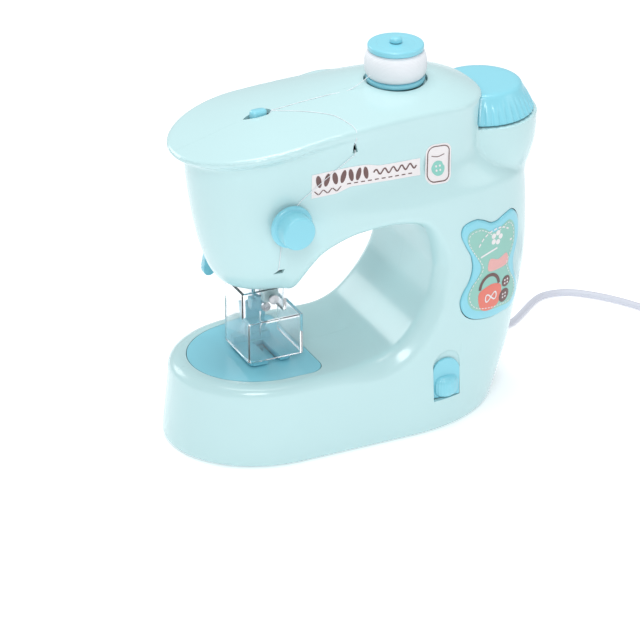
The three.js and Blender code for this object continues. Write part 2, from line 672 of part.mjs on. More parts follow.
// plain bearing block that carries a shaft; its leg stands on the floor or the rear wall
function bearing(name, x, z, leg) {
  const block = join(alongX(rod(4.2, -2.5, 2.5, 20)), leg);
  add(name, cut(block, alongX(rod(SHAFT_R + 0.08, -4, 4, 20))), BRASS, x, 0, z);
}
const floorLeg = () => box(-2.5, 2.5, -3, 3, FOOT_HEIGHT + WALL + GAP - LOWER_SHAFT_Z, -2.6);
const wallLeg = (x) => box(-2.5, 2.5, 2.6, rearWall(x + 2.5, MAIN_SHAFT_Z) - 1.6, -2.6, 2.6);
bearing('lower_bearing_left', 18, LOWER_SHAFT_Z, floorLeg());
bearing('lower_bearing_right', 70, LOWER_SHAFT_Z, floorLeg());

// ---------- main shaft and its drive ----------

add('main_shaft', alongX(rod(SHAFT_R, CRANK_X + 0.6, WHEEL_X - 4.4, 16)), STEEL, 0, 0, MAIN_SHAFT_Z);
bearing('main_bearing_left', 22, MAIN_SHAFT_Z, wallLeg(22));
bearing('main_bearing_right', 95, MAIN_SHAFT_Z, wallLeg(95));
add('main_pulley', pulley(), NYLON, PULLEY_X, 0, MAIN_SHAFT_Z);

function spurGear(teeth, width, bore) {
  const options = { depth: width, bevelEnabled: false, curveSegments: 12 };
  const gear = new THREE.ExtrudeGeometry(gearShape(teeth, GEAR_MODULE, bore), options);
  return gear.translate(0, 0, -width / 2);
}
add('main_gear', alongX(spurGear(GEAR_TEETH, 2.8, SHAFT_R + GAP)), NYLON, GEAR_X, 0, MAIN_SHAFT_Z);
// turned half a tooth so that a gap faces the big gear
const pinion = spurGear(PINION_TEETH, 2.8, 0).rotateZ(Math.PI / PINION_TEETH);
const motorShaft = rod(1, -2, 4, 12);
add('motor_pinion', alongX(join(pinion, motorShaft)), BRASS, GEAR_X, 0, MOTOR_Z);
const motorCan = turned([
  [0, 4.4], [9.4, 4.4], [10, 5], [10, 27], [9.4, 27.6], [3.4, 27.6], [3.4, 29.4], [0, 29.4],
], 28);
add('motor', alongX(motorCan), STEEL, GEAR_X, 0, MOTOR_Z);

// crank disc with its pin towards the needle bar, pin at the top
const disc = alongX(turned([
  [SHAFT_R + GAP, 0], [9.6, 0], [10, 0.4], [10, 2.6], [9.6, 3], [SHAFT_R + GAP, 3],
  [SHAFT_R + GAP, 0],
], 28));
const crankPin = alongX(rod(1.5, -3, 0.5, 16)).translate(0, 0, CRANK_THROW);
add('crank_disc', join(disc, crankPin), STEEL, CRANK_X, 0, MAIN_SHAFT_Z);

function rodOutline() {
  const shape = new THREE.Shape();
  shape.absarc(0, 0, 3.2, -0.6, Math.PI + 0.6);
  shape.lineTo(-1.8, -ROD_LENGTH + 3);
  shape.absarc(0, -ROD_LENGTH, 3, Math.PI - 0.6, Math.PI * 2 + 0.6);
  shape.lineTo(1.8, -3);
  [0, -ROD_LENGTH].forEach((z) => {
    const hole = new THREE.Path();
    hole.absarc(0, z, 1.6, 0, Math.PI * 2, true);
    shape.holes.push(hole);
  });
  return shape;
}
const rodPlate = new THREE.ExtrudeGeometry(rodOutline(), {
  depth: 2, bevelEnabled: false, curveSegments: 10,
});
add('connecting_rod', acrossX(rodPlate), NYLON, CRANK_X - 2.6, 0, MAIN_SHAFT_Z + CRANK_THROW);

// ---------- hand wheel ----------

function ribbedWheel() {
  const ribs = 40;
  const heights = [
    [0, WHEEL_R, 1], [1.2, WHEEL_R, 1], [7.5, WHEEL_R - 3.2, 1], [9.2, WHEEL_TOP_R + 1.6, 0],
    [WHEEL_HEIGHT - 0.6, WHEEL_TOP_R + 0.4, 0], [WHEEL_HEIGHT, WHEEL_TOP_R - 0.8, 0],
  ];
  const rings = heights.map(([z, r, ribbed]) => {
    const points = [];
    for (let i = 0; i < ribs * 2; i += 1) {
      const a = (i / (ribs * 2)) * Math.PI * 2;
      const rr = r - (ribbed && i % 2 ? 0.5 : 0);
      points.push([rr * Math.cos(a), rr * Math.sin(a), z]);
    }
    return points;
  });
  const positions = [];
  const push = (...corners) => corners.forEach((p) => positions.push(...p));
  const count = ribs * 2;
  for (let i = 0; i < count; i += 1) {
    const k = (i + 1) % count;
    for (let r = 0; r < rings.length - 1; r += 1) {
      push(rings[r][i], rings[r][k], rings[r + 1][k]);
      push(rings[r][i], rings[r + 1][k], rings[r + 1][i]);
    }
    push([0, 0, 0], rings[0][k], rings[0][i]);
    const top = rings[rings.length - 1];
    push([0, 0, WHEEL_HEIGHT], top[i], top[k]);
  }
  const geometry = new THREE.BufferGeometry();
  geometry.setAttribute('position', new THREE.Float32BufferAttribute(positions, 3));
  return geometry;
}
const wheelBore = rod(SHAFT_R + GAP, -1, 8, 20);
add('hand_wheel', cut(ribbedWheel(), wheelBore), BLUE, WHEEL_X, 0, WHEEL_Z);
add('wheel_shaft', rod(SHAFT_R, MAIN_SHAFT_Z + 3.4, WHEEL_Z + 7.6, 16), STEEL, WHEEL_X, 0, 0);

// bevel gear with its cone's point at the origin and its back towards +Z
function bevelGear() {
  const positions = [];
  const push = (...corners) => corners.forEach((p) => positions.push(...p));
  const sections = [[BEVEL_R, 1], [BEVEL_R * 0.58, 0.58]].map(([z, scale]) => {
    const points = [];
    for (let i = 0; i < BEVEL_TEETH * 4; i += 1) {
      const step = (Math.PI * 2) / (BEVEL_TEETH * 4);
      const tip = i % 4 < 2;
      const a = (i - 0.5) * step + (i % 2 ? -1 : 1) * step * (tip ? 0.24 : 0.06);
      const r = (tip ? BEVEL_R + 0.55 : BEVEL_R - 0.85) * scale;
      const back = tip ? -0.55 : 0.85;
      points.push([r * Math.cos(a), r * Math.sin(a), z + back * scale]);
    }
    return points;
  });
  const count = BEVEL_TEETH * 4;
  const back = [0, 0, BEVEL_R + 1.6];
  const front = [0, 0, sections[1][0][2]];
  for (let i = 0; i < count; i += 1) {
    const k = (i + 1) % count;
    push(sections[1][i], sections[1][k], sections[0][k]);
    push(sections[1][i], sections[0][k], sections[0][i]);
    push(back, sections[0][i], sections[0][k]);
    push(front, sections[1][k], sections[1][i]);
  }
  const geometry = new THREE.BufferGeometry();
  geometry.setAttribute('position', new THREE.Float32BufferAttribute(positions, 3));
  return cut(geometry, rod(SHAFT_R + GAP, 0, BEVEL_R + 4, 16));
}
add('wheel_bevel', bevelGear(), NYLON, WHEEL_X, 0, MAIN_SHAFT_Z);
const halfTooth = Math.PI / BEVEL_TEETH;
const shaftBevel = bevelGear().rotateZ(halfTooth).rotateY(-Math.PI / 2);
add('shaft_bevel', shaftBevel, NYLON, WHEEL_X, 0, MAIN_SHAFT_Z);

// ---------- needle bar ----------

const barStud = alongX(rod(1.2, 2, CRANK_X - 3.2, 12)).translate(0, 0, ROD_END_Z);
const barCollar = rod(4, ROD_END_Z - 3.5, ROD_END_Z + 3.5, 20);
add('needle_bar', join(rod(BAR_R, BAR_BOTTOM, BAR_TOP, 20), barCollar, barStud), CHROME);
const nubShape = new THREE.Shape();
nubShape.absarc(-1.6, 0, 2.5, Math.PI / 2, Math.PI * 1.5);
nubShape.absarc(1.8, 0, 2.5, -Math.PI / 2, Math.PI / 2);
const nub = new THREE.ExtrudeGeometry(nubShape, {
  depth: 7.6, bevelEnabled: true, bevelThickness: 1.1, bevelSize: 0.9, bevelOffset: -0.9,
  bevelSegments: 2, curveSegments: 8,
});
add('take_up_nub', nub, BLUE, 0, 0, BAR_TOP + GAP + 1.1);
const clampBody = join(rod(3.6, 63.6, 71, 20), box(-5.4, 0, -2.2, 2.2, 64.6, 70));
add('needle_clamp', cut(clampBody, rod(0.85, 60, 67, 12)), BLUE);
const clampScrew = turned([[0, 0], [1, 0], [1, 1.6], [2.2, 1.6], [2.2, 3.4], [0, 3.4]], 12);
add('clamp_screw', alongFront(clampScrew), STEEL, 0, -3.6 - GAP, 67.2);
add('needle', turned([
  [0, 47], [0.35, 49.5], [0.5, 53], [0.5, 66.6], [0, 66.6],
], 10), CHROME);

// ---------- presser bar, foot and lifter ----------

const FOOT_BOTTOM = BASE_TOP + 0.9;
const COLLAR_Z = LIFTER[2] + 2.4;
const SPRING_TOP = 126;
const presserCollar = rod(4.4, COLLAR_Z, COLLAR_Z + 3.6, 20);
add('presser_bar', join(rod(PRESSER_R, 57.5, 132, 16), presserCollar), CHROME, 0, PRESSER_Y, 0);

// sole with two toes, a slot for the needle between them and a thread gap in front
function soleShape() {
  const shape = new THREE.Shape();
  shape.moveTo(-12, 9);
  shape.lineTo(-12, -13.2);
  shape.quadraticCurveTo(-12, -16.4, -8.8, -16.4);
  shape.lineTo(-3.2, -16.4);
  shape.lineTo(-2.6, -6);
  shape.lineTo(-2.6, 3);
  shape.lineTo(2.6, 3);
  shape.lineTo(2.6, -6);
  shape.lineTo(3.2, -16);
  shape.lineTo(6.4, -16);
  shape.quadraticCurveTo(9, -16, 9, -13.4);
  shape.lineTo(9, 9);
  return shape;
}
const sole = plateXY(soleShape(), FOOT_BOTTOM, FOOT_BOTTOM + 2.6, 4);
const ankle = box(-5, 5, 5.4, 13.4, FOOT_BOTTOM + 2, 62);
const arch = box(-11, 7, 4.4, 9, FOOT_BOTTOM + 2, FOOT_BOTTOM + 6);
const socket = rod(PRESSER_R + GAP, 56, 70, 16).translate(0, PRESSER_Y, 0);
add('presser_foot', cut(join(sole, ankle, arch), socket), BLUE);
const spring = coilSpring(3.2, 0.5, COLLAR_Z + 4, SPRING_TOP, 6);
add('presser_spring', spring, STEEL, 0, PRESSER_Y, 0);

// frame that carries both bars: a back plate, three lugs and two legs to the rear wall
const frameBack = box(-5.4, 5.4, 15.6, 17.6, 94, 142.8);
const frameLugs = [
  box(-5.4, 5.4, 5.2, 16, 94, 97.4),
  box(-5.4, 5.4, -4.6, 16, SPRING_TOP + 0.6, SPRING_TOP + 4),
  box(-5.4, 5.4, -4.6, 16, 139.4, 142.8),
];
const frameLegs = [112, 136].map((z) => box(-2.5, 2.5, 17, rearWall(0, z - 3) - 0.8, z - 3, z + 3));
const barHole = rod(BAR_R + 0.08, 80, 160, 20);
const presserHole = rod(PRESSER_R + 0.08, 80, 138, 20).translate(0, PRESSER_Y, 0);
add('head_frame', cut(join(frameBack, ...frameLugs, ...frameLegs), barHole, presserHole), STEEL);

// lever behind the head; its finger reaches under the presser bar's collar
const [pivotX, leverY, pivotZ] = LIFTER;
const lifterHub = alongFront(rod(2.2, -leverY - 1, -8, 16)).translate(pivotX, 0, pivotZ);
const lever = new THREE.Shape();
lever.absarc(pivotX, pivotZ, 4, 0, Math.PI);
lever.lineTo(pivotX - 8.6, pivotZ - 24);
lever.absarc(pivotX - 5.6, pivotZ - 25.6, 3, Math.PI * 0.8, Math.PI * 1.9);
const leverPlate = plateXZ(lever, leverY, leverY + 3.4, 8);
const finger = box(pivotX - 1, pivotX + 5, 8.2, 10.4, pivotZ - 1, pivotZ + 1);
add('presser_lifter', join(lifterHub, leverPlate, finger), BLUE);

// ---------- needle guard ----------

const GUARD = { x0: -13.8, x1: 14.9, y0: -18.3, y1: 10, z0: 44.8, z1: 65.5, wall: 1.5 };
function guardGeometry() {
  const { x0, x1, y0, y1, z0, z1, wall } = GUARD;
  const hood = box(x0, x1, y0, y1, z0, z1);
  const neck = box(x0, 9.6, -10.8, y1, z1 - 3, HEAD_BOTTOM + 12);
  const hoodRoom = box(x0 + wall, x1 - wall, y0 + wall, y1 + 5, z0 - 5, z1 - wall);
  const neckRoom = box(x0 + wall, 9.6 - wall, -10.8 + wall, y1 + 5, z0, HEAD_BOTTOM + 20);
  const screwHole = alongFront(rod(1.55, 8, 14, 12)).translate(2, 0, 72.8);
  return cut(join(hood, neck), hoodRoom, neckRoom, screwHole);
}
const headAbove = outside.translate(0, 0, -GAP)
  .add(toSolid(box(-60, 60, -60, 60, HEAD_BOTTOM - GAP, 120)));
add('needle_guard', toGeometry(toSolid(guardGeometry()).subtract(headAbove)), CLEAR);
const guardScrew = turned([[0, 5], [1.1, 5.6], [1.1, 11.2], [2.4, 11.2], [2.4, 12.4], [0, 12.8]], 12);
add('guard_screw', alongFront(guardScrew), STEEL, 2, 0, 72.8);

// ---------- thread tension ----------

const FACE_Y = depthAt(KNOB_X, KNOB_Z + KNOB_R) + 1.2;
const addTension = (name, geometry, look) => (
  add(name, alongFront(geometry), look, KNOB_X, 0, KNOB_Z));
const tensionDisc = rod(6.4, FACE_Y + 0.6, FACE_Y + 1.4, 24);
addTension('tension_post', join(rod(1.5, FACE_Y - 8, FACE_Y + 8, 14), tensionDisc), CHROME);
addTension('tension_spring', coilSpring(3.4, 0.4, FACE_Y + 1.8, FACE_Y + 7.8, 4), STEEL);
addTension('tension_knob', turned([
  [0, FACE_Y + 8.4], [6.8, FACE_Y + 8.4], [6.8, FACE_Y], [KNOB_R - 0.4, FACE_Y],
  [KNOB_R, FACE_Y + 0.5], [KNOB_R, FACE_Y + 2.1], [KNOB_R - 0.5, FACE_Y + 2.6],
  [8.5, FACE_Y + 2.7], [8.2, FACE_Y + 9.8], [7.6, FACE_Y + 10.5], [0, FACE_Y + 10.5],
], 36), BLUE);

// ---------- spool ----------

const seatTop = SPOOL_FLOOR - 0.6;
add('spool_seat', turned([
  [SHAFT_R + GAP + 0.3, seatTop - 5], [SPOOL_R + 0.8, seatTop - 5], [SPOOL_R + 0.8, seatTop - 0.4],
  [SPOOL_R - 1, seatTop - 0.4], [SPOOL_R - 1, seatTop - 2.6], [5, seatTop - 2.6], [5, seatTop],
  [SHAFT_R + GAP + 0.3, seatTop], [SHAFT_R + GAP + 0.3, seatTop - 5],
], 24), MINT, SPOOL_X, 0, 0);
add('spool_pin', turned([
  [0, seatTop - 9], [4.6, seatTop - 9], [4.6, seatTop - 5.6], [SHAFT_R, seatTop - 5.6],
  [SHAFT_R, SPOOL_FLOOR + 19.1], [2.9, SPOOL_FLOOR + 19.1], [2.9, SPOOL_FLOOR + 21.2],
  [2.2, SPOOL_FLOOR + 21.9], [0, SPOOL_FLOOR + 21.9],
], 20), BLUE, SPOOL_X, 0, 0);
add('spool', turned([
  [SHAFT_R + 0.4, 0], [SPOOL_R - 0.3, 0], [SPOOL_R, 0.4], [SPOOL_R, 2], [SPOOL_R - 0.4, 2.4],
  [5.4, 2.6], [5.4, 15.4], [SPOOL_R - 1.2, 15.6], [SPOOL_R - 0.6, 16.2], [SPOOL_R - 0.6, 18],
  [SPOOL_R - 1.4, 18.7], [SHAFT_R + 0.4, 18.7], [SHAFT_R + 0.4, 0],
], 26), BLUE, SPOOL_X, 0, SPOOL_FLOOR);
add('spool_thread', turned([
  [5.8, 2.9], [13.4, 2.9], [14.4, 4.6], [14.9, 7], [14.9, 10.6], [14.4, 13], [13.2, 15.2],
  [5.8, 15.2], [5.8, 2.9],
], 26), WHITE, SPOOL_X, 0, SPOOL_FLOOR);

// ---------- power switch ----------

const slideFace = depthAt(SWITCH_X, SWITCH_Z);
const slidePlate = plateXZ(switchShape(0, 0), -slideFace + 0.8, -slideFace + 2.2, 12);
const grip = new THREE.SphereGeometry(1, 18, 12).scale(6.8, 5.6, 5.6)
  .translate(SWITCH_X, -slideFace + 2.2, SWITCH_Z - 2.6);
const backCut = box(SWITCH_X - 10, SWITCH_X + 10, -slideFace + 2.2, 0, 10, 50);
add('power_slide', cut(join(slidePlate, grip), backCut), BLUE);
const switchAt = (y) => -slideFace + y;
add('switch_body', box(SWITCH_X - 5, SWITCH_X + 5, switchAt(3.4), switchAt(6.4), 19, 34), DARK);
add('switch_board', box(SWITCH_X - 8, SWITCH_X + 10, switchAt(6.8), switchAt(8.2), 10, 38), BOARD);

// ---------- USB lead ----------

function alongCord(geometry) {
  const exit = new THREE.Vector3(...CORD_EXIT);
  const turn = new THREE.Quaternion().setFromUnitVectors(
    new THREE.Vector3(0, 0, 1),
    new THREE.Vector3(...CORD_DIRECTION).normalize(),
  );
  return geometry.applyQuaternion(turn).translate(exit.x, exit.y, exit.z);
}
add('cord_relief', alongCord(turned([
  [CORD_R + GAP, -9], [4.4, -9], [4.4, -7], [3.2, -7], [3.2, 4], [2.6, 14],
  [CORD_R + GAP, 14], [CORD_R + GAP, -9],
], 16)), LEAD);
add('cord', tube(CORD_ROUTE, CORD_R, 36), LEAD);
const coilDepth = COIL_COLUMNS * CORD_R;
add('cord_coil', ring(
  COIL_R - coilDepth, COIL_R + coilDepth, 0.1, 0.1 + COIL_LAYERS * 2 * CORD_R, 28,
), LEAD, ...COIL_CENTRE);
add('cord_tail', tube(CORD_TAIL, CORD_R, 12), LEAD);
const [plugX, plugY, plugZ] = PLUG;
const plugBody = box(plugX - 15.4, plugX - 0.3, plugY - 6.8, plugY + 6.8, 0.1, plugZ + 3.4);
const plugContact = box(plugX - 27.7, plugX - 15, plugY - 6, plugY + 6, 0.9, 5.4);
add('usb_plug', join(plugBody, plugContact), LEAD);

export default group;
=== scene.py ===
# Small electric sewing machine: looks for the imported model.
# Shapes are worked out in millimetres from the needle axis, as in the CAD source, and
# placed in the frame's metres by place().

import math

import bmesh
import bpy
import numpy as np
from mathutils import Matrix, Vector


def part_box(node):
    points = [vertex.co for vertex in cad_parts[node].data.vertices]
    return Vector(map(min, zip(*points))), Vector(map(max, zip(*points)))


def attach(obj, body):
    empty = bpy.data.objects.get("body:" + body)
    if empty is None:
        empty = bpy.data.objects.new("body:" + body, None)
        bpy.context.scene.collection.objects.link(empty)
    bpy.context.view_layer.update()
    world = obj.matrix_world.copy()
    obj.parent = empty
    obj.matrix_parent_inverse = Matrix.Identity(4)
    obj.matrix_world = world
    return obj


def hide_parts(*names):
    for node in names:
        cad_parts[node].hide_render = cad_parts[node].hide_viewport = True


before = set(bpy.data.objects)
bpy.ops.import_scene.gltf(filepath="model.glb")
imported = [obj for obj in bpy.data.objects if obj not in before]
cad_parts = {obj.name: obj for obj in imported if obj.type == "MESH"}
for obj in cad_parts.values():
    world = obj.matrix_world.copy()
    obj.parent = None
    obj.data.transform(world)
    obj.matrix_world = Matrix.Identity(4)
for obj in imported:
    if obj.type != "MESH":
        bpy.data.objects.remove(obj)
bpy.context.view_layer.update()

MM = 0.001


def box_mm(node):
    """Lowest and highest corners of a CAD node, in mm in the frame."""
    low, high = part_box(node)
    return np.array(low) / MM, np.array(high) / MM


needle_low, needle_high = box_mm("needle")
NEEDLE = np.array([(needle_low[0] + needle_high[0]) / 2, 0, 0])


def box(node):
    """As box_mm, measured from the needle axis."""
    low, high = box_mm(node)
    return low - NEEDLE, high - NEEDLE


def place(points):
    """Points in mm from the needle axis, in the frame's metres."""
    return (np.asarray(points, float) + NEEDLE) * MM


# ---------- sizes that follow from the frame ----------

wheel_low, wheel_high = box("hand_wheel")
spool_low, spool_high = box("spool")
knob_low, knob_high = box("tension_knob")
slide_low, slide_high = box("power_slide")
guard_low, guard_high = box("needle_guard")

WALL = 2.4
SEAM = 0.05
FOOT_HEIGHT = box("base_plate")[0][2]
BASE_TOP = box("needle_plate")[1][2]
HEAD_BOTTOM = 78.0
EDGE_HEIGHT = 164.0
RIM_PEAK_X = 66.0
CROWN = 6.0
WHEEL_X = (wheel_low[0] + wheel_high[0]) / 2
WHEEL_Z = wheel_low[2]
WHEEL_R = (wheel_high[0] - wheel_low[0]) / 2
WHEEL_HEIGHT = wheel_high[2] - wheel_low[2]
SPOOL_X = (spool_low[0] + spool_high[0]) / 2
KNOB_X = (knob_low[0] + knob_high[0]) / 2
KNOB_Z = (knob_low[2] + knob_high[2]) / 2
KNOB_R = (knob_high[0] - knob_low[0]) / 2

# ---------- camera, light and floor ----------

CAMERA_TARGET = (23.3, -17.9, 60.0)
CAMERA_AZIMUTH = math.radians(-25.3)
CAMERA_ELEVATION = math.radians(27.2)
CAMERA_DISTANCE = 1500.0
CAMERA_LENS = 177.2
LIGHT_TARGET = (0, 0, 0.08)
FLOOR_REACH = 4.0


def add_object(name, data):
    obj = bpy.data.objects.new(name, data)
    bpy.context.scene.collection.objects.link(obj)
    return obj


def look_at(obj, target):
    direction = Vector(target) - obj.location
    obj.rotation_euler = direction.to_track_quat("-Z", "Y").to_euler()


def make_camera():
    camera = add_object("camera", bpy.data.cameras.new("camera"))
    camera.data.lens = CAMERA_LENS
    camera.data.sensor_width = 36.0
    camera.data.clip_end = 20.0
    flat = math.cos(CAMERA_ELEVATION)
    away = np.array([
        math.sin(CAMERA_AZIMUTH) * flat,
        -math.cos(CAMERA_AZIMUTH) * flat,
        math.sin(CAMERA_ELEVATION),
    ])
    target = place(CAMERA_TARGET)
    camera.location = Vector(target + away * CAMERA_DISTANCE * MM)
    look_at(camera, target)
    bpy.context.scene.camera = camera


def make_light(name, location, size, power):
    light = bpy.data.lights.new(name, "AREA")
    light.shape = "DISK"
    light.size = size
    light.energy = power
    obj = add_object(name, light)
    obj.location = location
    look_at(obj, LIGHT_TARGET)


def make_stage():
    world = bpy.data.worlds.new("world")
    world.use_nodes = True
    set_inputs(world.node_tree.nodes["Background"], {"Color": (0.93, 0.96, 1.0, 1), "Strength": 0.5})
    bpy.context.scene.world = world
    make_light("key", (-0.45, -0.9, 1.0), 0.5, 5.4)
    make_light("fill", (0.9, -0.6, 0.5), 0.5, 0.8)
    make_light("top", (0.0, 0.1, 1.2), 0.7, 6.2)
    make_light("back", (-0.5, 0.9, 0.6), 0.5, 2.0)
    bpy.context.scene.view_settings.view_transform = "Standard"
    mesh = bpy.data.meshes.new("floor")
    corners = [(x * FLOOR_REACH, y * FLOOR_REACH, 0) for x, y in ((-1, -1), (1, -1), (1, 1), (-1, 1))]
    mesh.from_pydata(corners, [], [(0, 1, 2, 3)])
    floor = add_object("floor", mesh)
    paper = plain_surface("floor_paper", (0.9, 0.905, 0.91), 0.75)
    set_inputs(paper.node_tree.nodes["Principled BSDF"],
               {"Emission Color": (0.97, 0.98, 1, 1), "Emission Strength": 0.3})
    floor.data.materials.append(paper)


# ---------- materials ----------

def set_inputs(node, values):
    for name, value in values.items():
        node.inputs[name].default_value = value


def add_node(tree, kind, values):
    node = tree.nodes.new(kind)
    set_inputs(node, values)
    return node


def new_material(name):
    material = bpy.data.materials.new(name)
    material.use_nodes = True
    tree = material.node_tree
    return material, tree, tree.nodes["Principled BSDF"]


def noise(tree, scale, detail=3.0, stretch=(1, 1, 1)):
    """Noise over the object's own metres, so its grain is in metres too."""
    coordinates = tree.nodes.new("ShaderNodeTexCoord")
    mapping = add_node(tree, "ShaderNodeMapping", {"Scale": stretch})
    texture = add_node(tree, "ShaderNodeTexNoise", {"Scale": scale, "Detail": detail})
    tree.links.new(coordinates.outputs["Object"], mapping.inputs["Vector"])
    tree.links.new(mapping.outputs["Vector"], texture.inputs["Vector"])
    return texture.outputs["Fac"]


def vary_roughness(tree, shader, source, low, high):
    """Roughness from low to high over the middle of the source's range."""
    spread = add_node(tree, "ShaderNodeMapRange", {
        "From Min": 0.3, "From Max": 0.7, "To Min": low, "To Max": high})
    tree.links.new(source, spread.inputs["Value"])
    tree.links.new(spread.outputs["Result"], shader.inputs["Roughness"])


def vary_colour(tree, shader, source, color, spread):
    """Colour that wanders a little lighter and darker with the source."""
    mixer = tree.nodes.new("ShaderNodeMix")
    mixer.data_type = "RGBA"
    dark = [c * (1 - spread) for c in color]
    light = [min(1.0, c * (1 + spread)) for c in color]
    set_inputs(mixer, {"A": (*dark, 1), "B": (*light, 1)})
    tree.links.new(source, mixer.inputs["Factor"])
    tree.links.new(mixer.outputs["Result"], shader.inputs["Base Color"])


def bump(tree, shader, source, strength, distance):
    node = add_node(tree, "ShaderNodeBump", {"Strength": strength, "Distance": distance})
    tree.links.new(source, node.inputs["Height"])
    tree.links.new(node.outputs["Normal"], shader.inputs["Normal"])


def plain_surface(name, color, roughness):
    material, tree, shader = new_material(name)
    set_inputs(shader, {"Base Color": (*color, 1)})
    vary_roughness(tree, shader, noise(tree, 6), roughness - 0.05, roughness + 0.05)
    return material


def moulded(name, color, roughness, spread, grain, coat, soft=0.0):
    """Injection-moulded plastic: clouded gloss, faint flow tone and a fine skin."""
    material, tree, shader = new_material(name)
    clouds = noise(tree, 35, 4)
    vary_colour(tree, shader, clouds, color, spread)
    vary_roughness(tree, shader, clouds, roughness - 0.01, roughness + 0.015)
    set_inputs(shader, {
        "Coat Weight": coat, "Coat Roughness": 0.12,
        "Subsurface Weight": soft, "Subsurface Radius": (0.004, 0.005, 0.005),
    })
    bump(tree, shader, noise(tree, 2600, 2), grain, 0.00004)
    return material


def metal(name, color, roughness, along=(1, 1, 1)):
    """Turned or pressed metal with fine tool lines across the long direction."""
    material, tree, shader = new_material(name)
    lines = noise(tree, 700, 3, along)
    set_inputs(shader, {"Metallic": 1.0})
    vary_colour(tree, shader, lines, color, 0.06)
    vary_roughness(tree, shader, lines, roughness * 0.7, roughness * 1.4)
    bump(tree, shader, lines, 0.12, 0.00003)
    return material


def rubbery(name, color, roughness):
    material, tree, shader = new_material(name)
    grain = noise(tree, 1500, 4)
    vary_colour(tree, shader, grain, color, 0.06)
    vary_roughness(tree, shader, grain, roughness - 0.08, roughness + 0.1)
    bump(tree, shader, grain, 0.25, 0.00006)
    return material


def clear(name, color):
    material, tree, shader = new_material(name)
    set_inputs(shader, {"Base Color": (*color, 1), "Transmission Weight": 0.97, "IOR": 1.3})
    haze = noise(tree, 120)
    vary_roughness(tree, shader, haze, 0.02, 0.09)
    bump(tree, shader, haze, 0.04, 0.0002)
    return material


def wound_thread(name, color):
    """Thread in close turns: a fine wave across the axis and a soft sheen."""
    material, tree, shader = new_material(name)
    coordinates = tree.nodes.new("ShaderNodeTexCoord")
    wave = add_node(tree, "ShaderNodeTexWave", {"Scale": 520, "Distortion": 1.2, "Detail": 2})
    wave.bands_direction = "Z"
    tree.links.new(coordinates.outputs["Object"], wave.inputs["Vector"])
    vary_colour(tree, shader, wave.outputs["Fac"], color, 0.06)
    set_inputs(shader, {"Roughness": 0.62, "Sheen Weight": 0.3})
    bump(tree, shader, wave.outputs["Fac"], 0.6, 0.00012)
    return material


def circuit_board(name):
    material, tree, shader = new_material(name)
    coordinates = tree.nodes.new("ShaderNodeTexCoord")
    tracks = tree.nodes.new("ShaderNodeTexVoronoi")
    tracks.feature = "DISTANCE_TO_EDGE"
    set_inputs(tracks, {"Scale": 350})
    tree.links.new(coordinates.outputs["Object"], tracks.inputs["Vector"])
    vary_colour(tree, shader, tracks.outputs["Distance"], (0.03, 0.16, 0.08), 0.4)
    set_inputs(shader, {"Roughness": 0.4})
    return material


MINT = moulded("mint_plastic", (0.53, 0.755, 0.765), 0.24, 0.012, 0.04, 0.4)
BLUE = moulded("blue_plastic", (0.255, 0.66, 0.775), 0.3, 0.02, 0.06, 0.3)
PALE_BLUE = moulded("blue_inside", (0.25, 0.62, 0.74), 0.4, 0.02, 0.08, 0.1)
CLEAR = clear("clear_plastic", (0.98, 0.99, 1.0))
THREAD = wound_thread("white_thread", (0.86, 0.87, 0.9))
LEAD = rubbery("lead_grey", (0.62, 0.63, 0.70), 0.45)
STEEL = metal("steel", (0.55, 0.56, 0.58), 0.32)
CHROME = metal("chrome", (0.8, 0.81, 0.83), 0.14, (1, 1, 8))
BRASS = metal("brass", (0.72, 0.5, 0.18), 0.3)
NYLON = moulded("nylon", (0.86, 0.82, 0.7), 0.5, 0.03, 0.15, 0.0, 0.1)
BELT = rubbery("belt_rubber", (0.025, 0.026, 0.028), 0.8)
FEET = rubbery("foot_rubber", (0.7, 0.73, 0.75), 0.8)
DARK = moulded("dark_plastic", (0.04, 0.043, 0.05), 0.5, 0.1, 0.2, 0.0)
BOARD = circuit_board("board")
PAPER = moulded("label_white", (0.84, 0.80, 0.80), 0.5, 0.02, 0.15, 0.05)
LABEL_TEAL = moulded("label_teal", (0.29, 0.58, 0.50), 0.45, 0.03, 0.15, 0.05)
LABEL_RED = moulded("label_red", (0.80, 0.20, 0.15), 0.45, 0.04, 0.15, 0.05)
LABEL_BROWN = moulded("label_brown", (0.16, 0.085, 0.08), 0.5, 0.05, 0.15, 0.0)
LABEL_PINK = moulded("label_pink", (0.80, 0.42, 0.40), 0.45, 0.04, 0.15, 0.05)
LABEL_MINT = moulded("label_mint", (0.27, 0.62, 0.54), 0.45, 0.03, 0.15, 0.05)

NODE_LOOKS = {
    MINT: ["base_plate", "spool_seat"],
    BLUE: ["take_up_nub", "presser_lifter", "needle_plate"],
    STEEL: ["feed_dog", "lower_shaft", "main_shaft", "motor", "crank_disc", "wheel_shaft", "clamp_screw",
            "presser_spring", "head_frame", "guard_screw", "shell_screw_1", "shell_screw_2", "tension_spring"],
    CHROME: ["hook", "bobbin_case", "needle_bar", "needle", "presser_bar", "tension_post"],
    BRASS: ["lower_bearing_left", "lower_bearing_right", "main_bearing_left", "main_bearing_right",
            "motor_pinion"],
    NYLON: ["bobbin", "lower_pulley", "main_pulley", "main_gear", "connecting_rod", "wheel_bevel",
            "shaft_bevel"],
    BELT: ["drive_belt"],
    FEET: ["foot_1", "foot_2", "foot_3", "foot_4"],
    DARK: ["switch_body"],
    BOARD: ["switch_board"],
    PALE_BLUE: ["needle_clamp", "spool_pin"],
}


def dress_nodes():
    for look, nodes in NODE_LOOKS.items():
        for node in nodes:
            paint(bpy.data.objects[node], look)


# ---------- mesh helpers ----------

def paint(obj, material):
    obj.data.materials.clear()
    obj.data.materials.append(material)


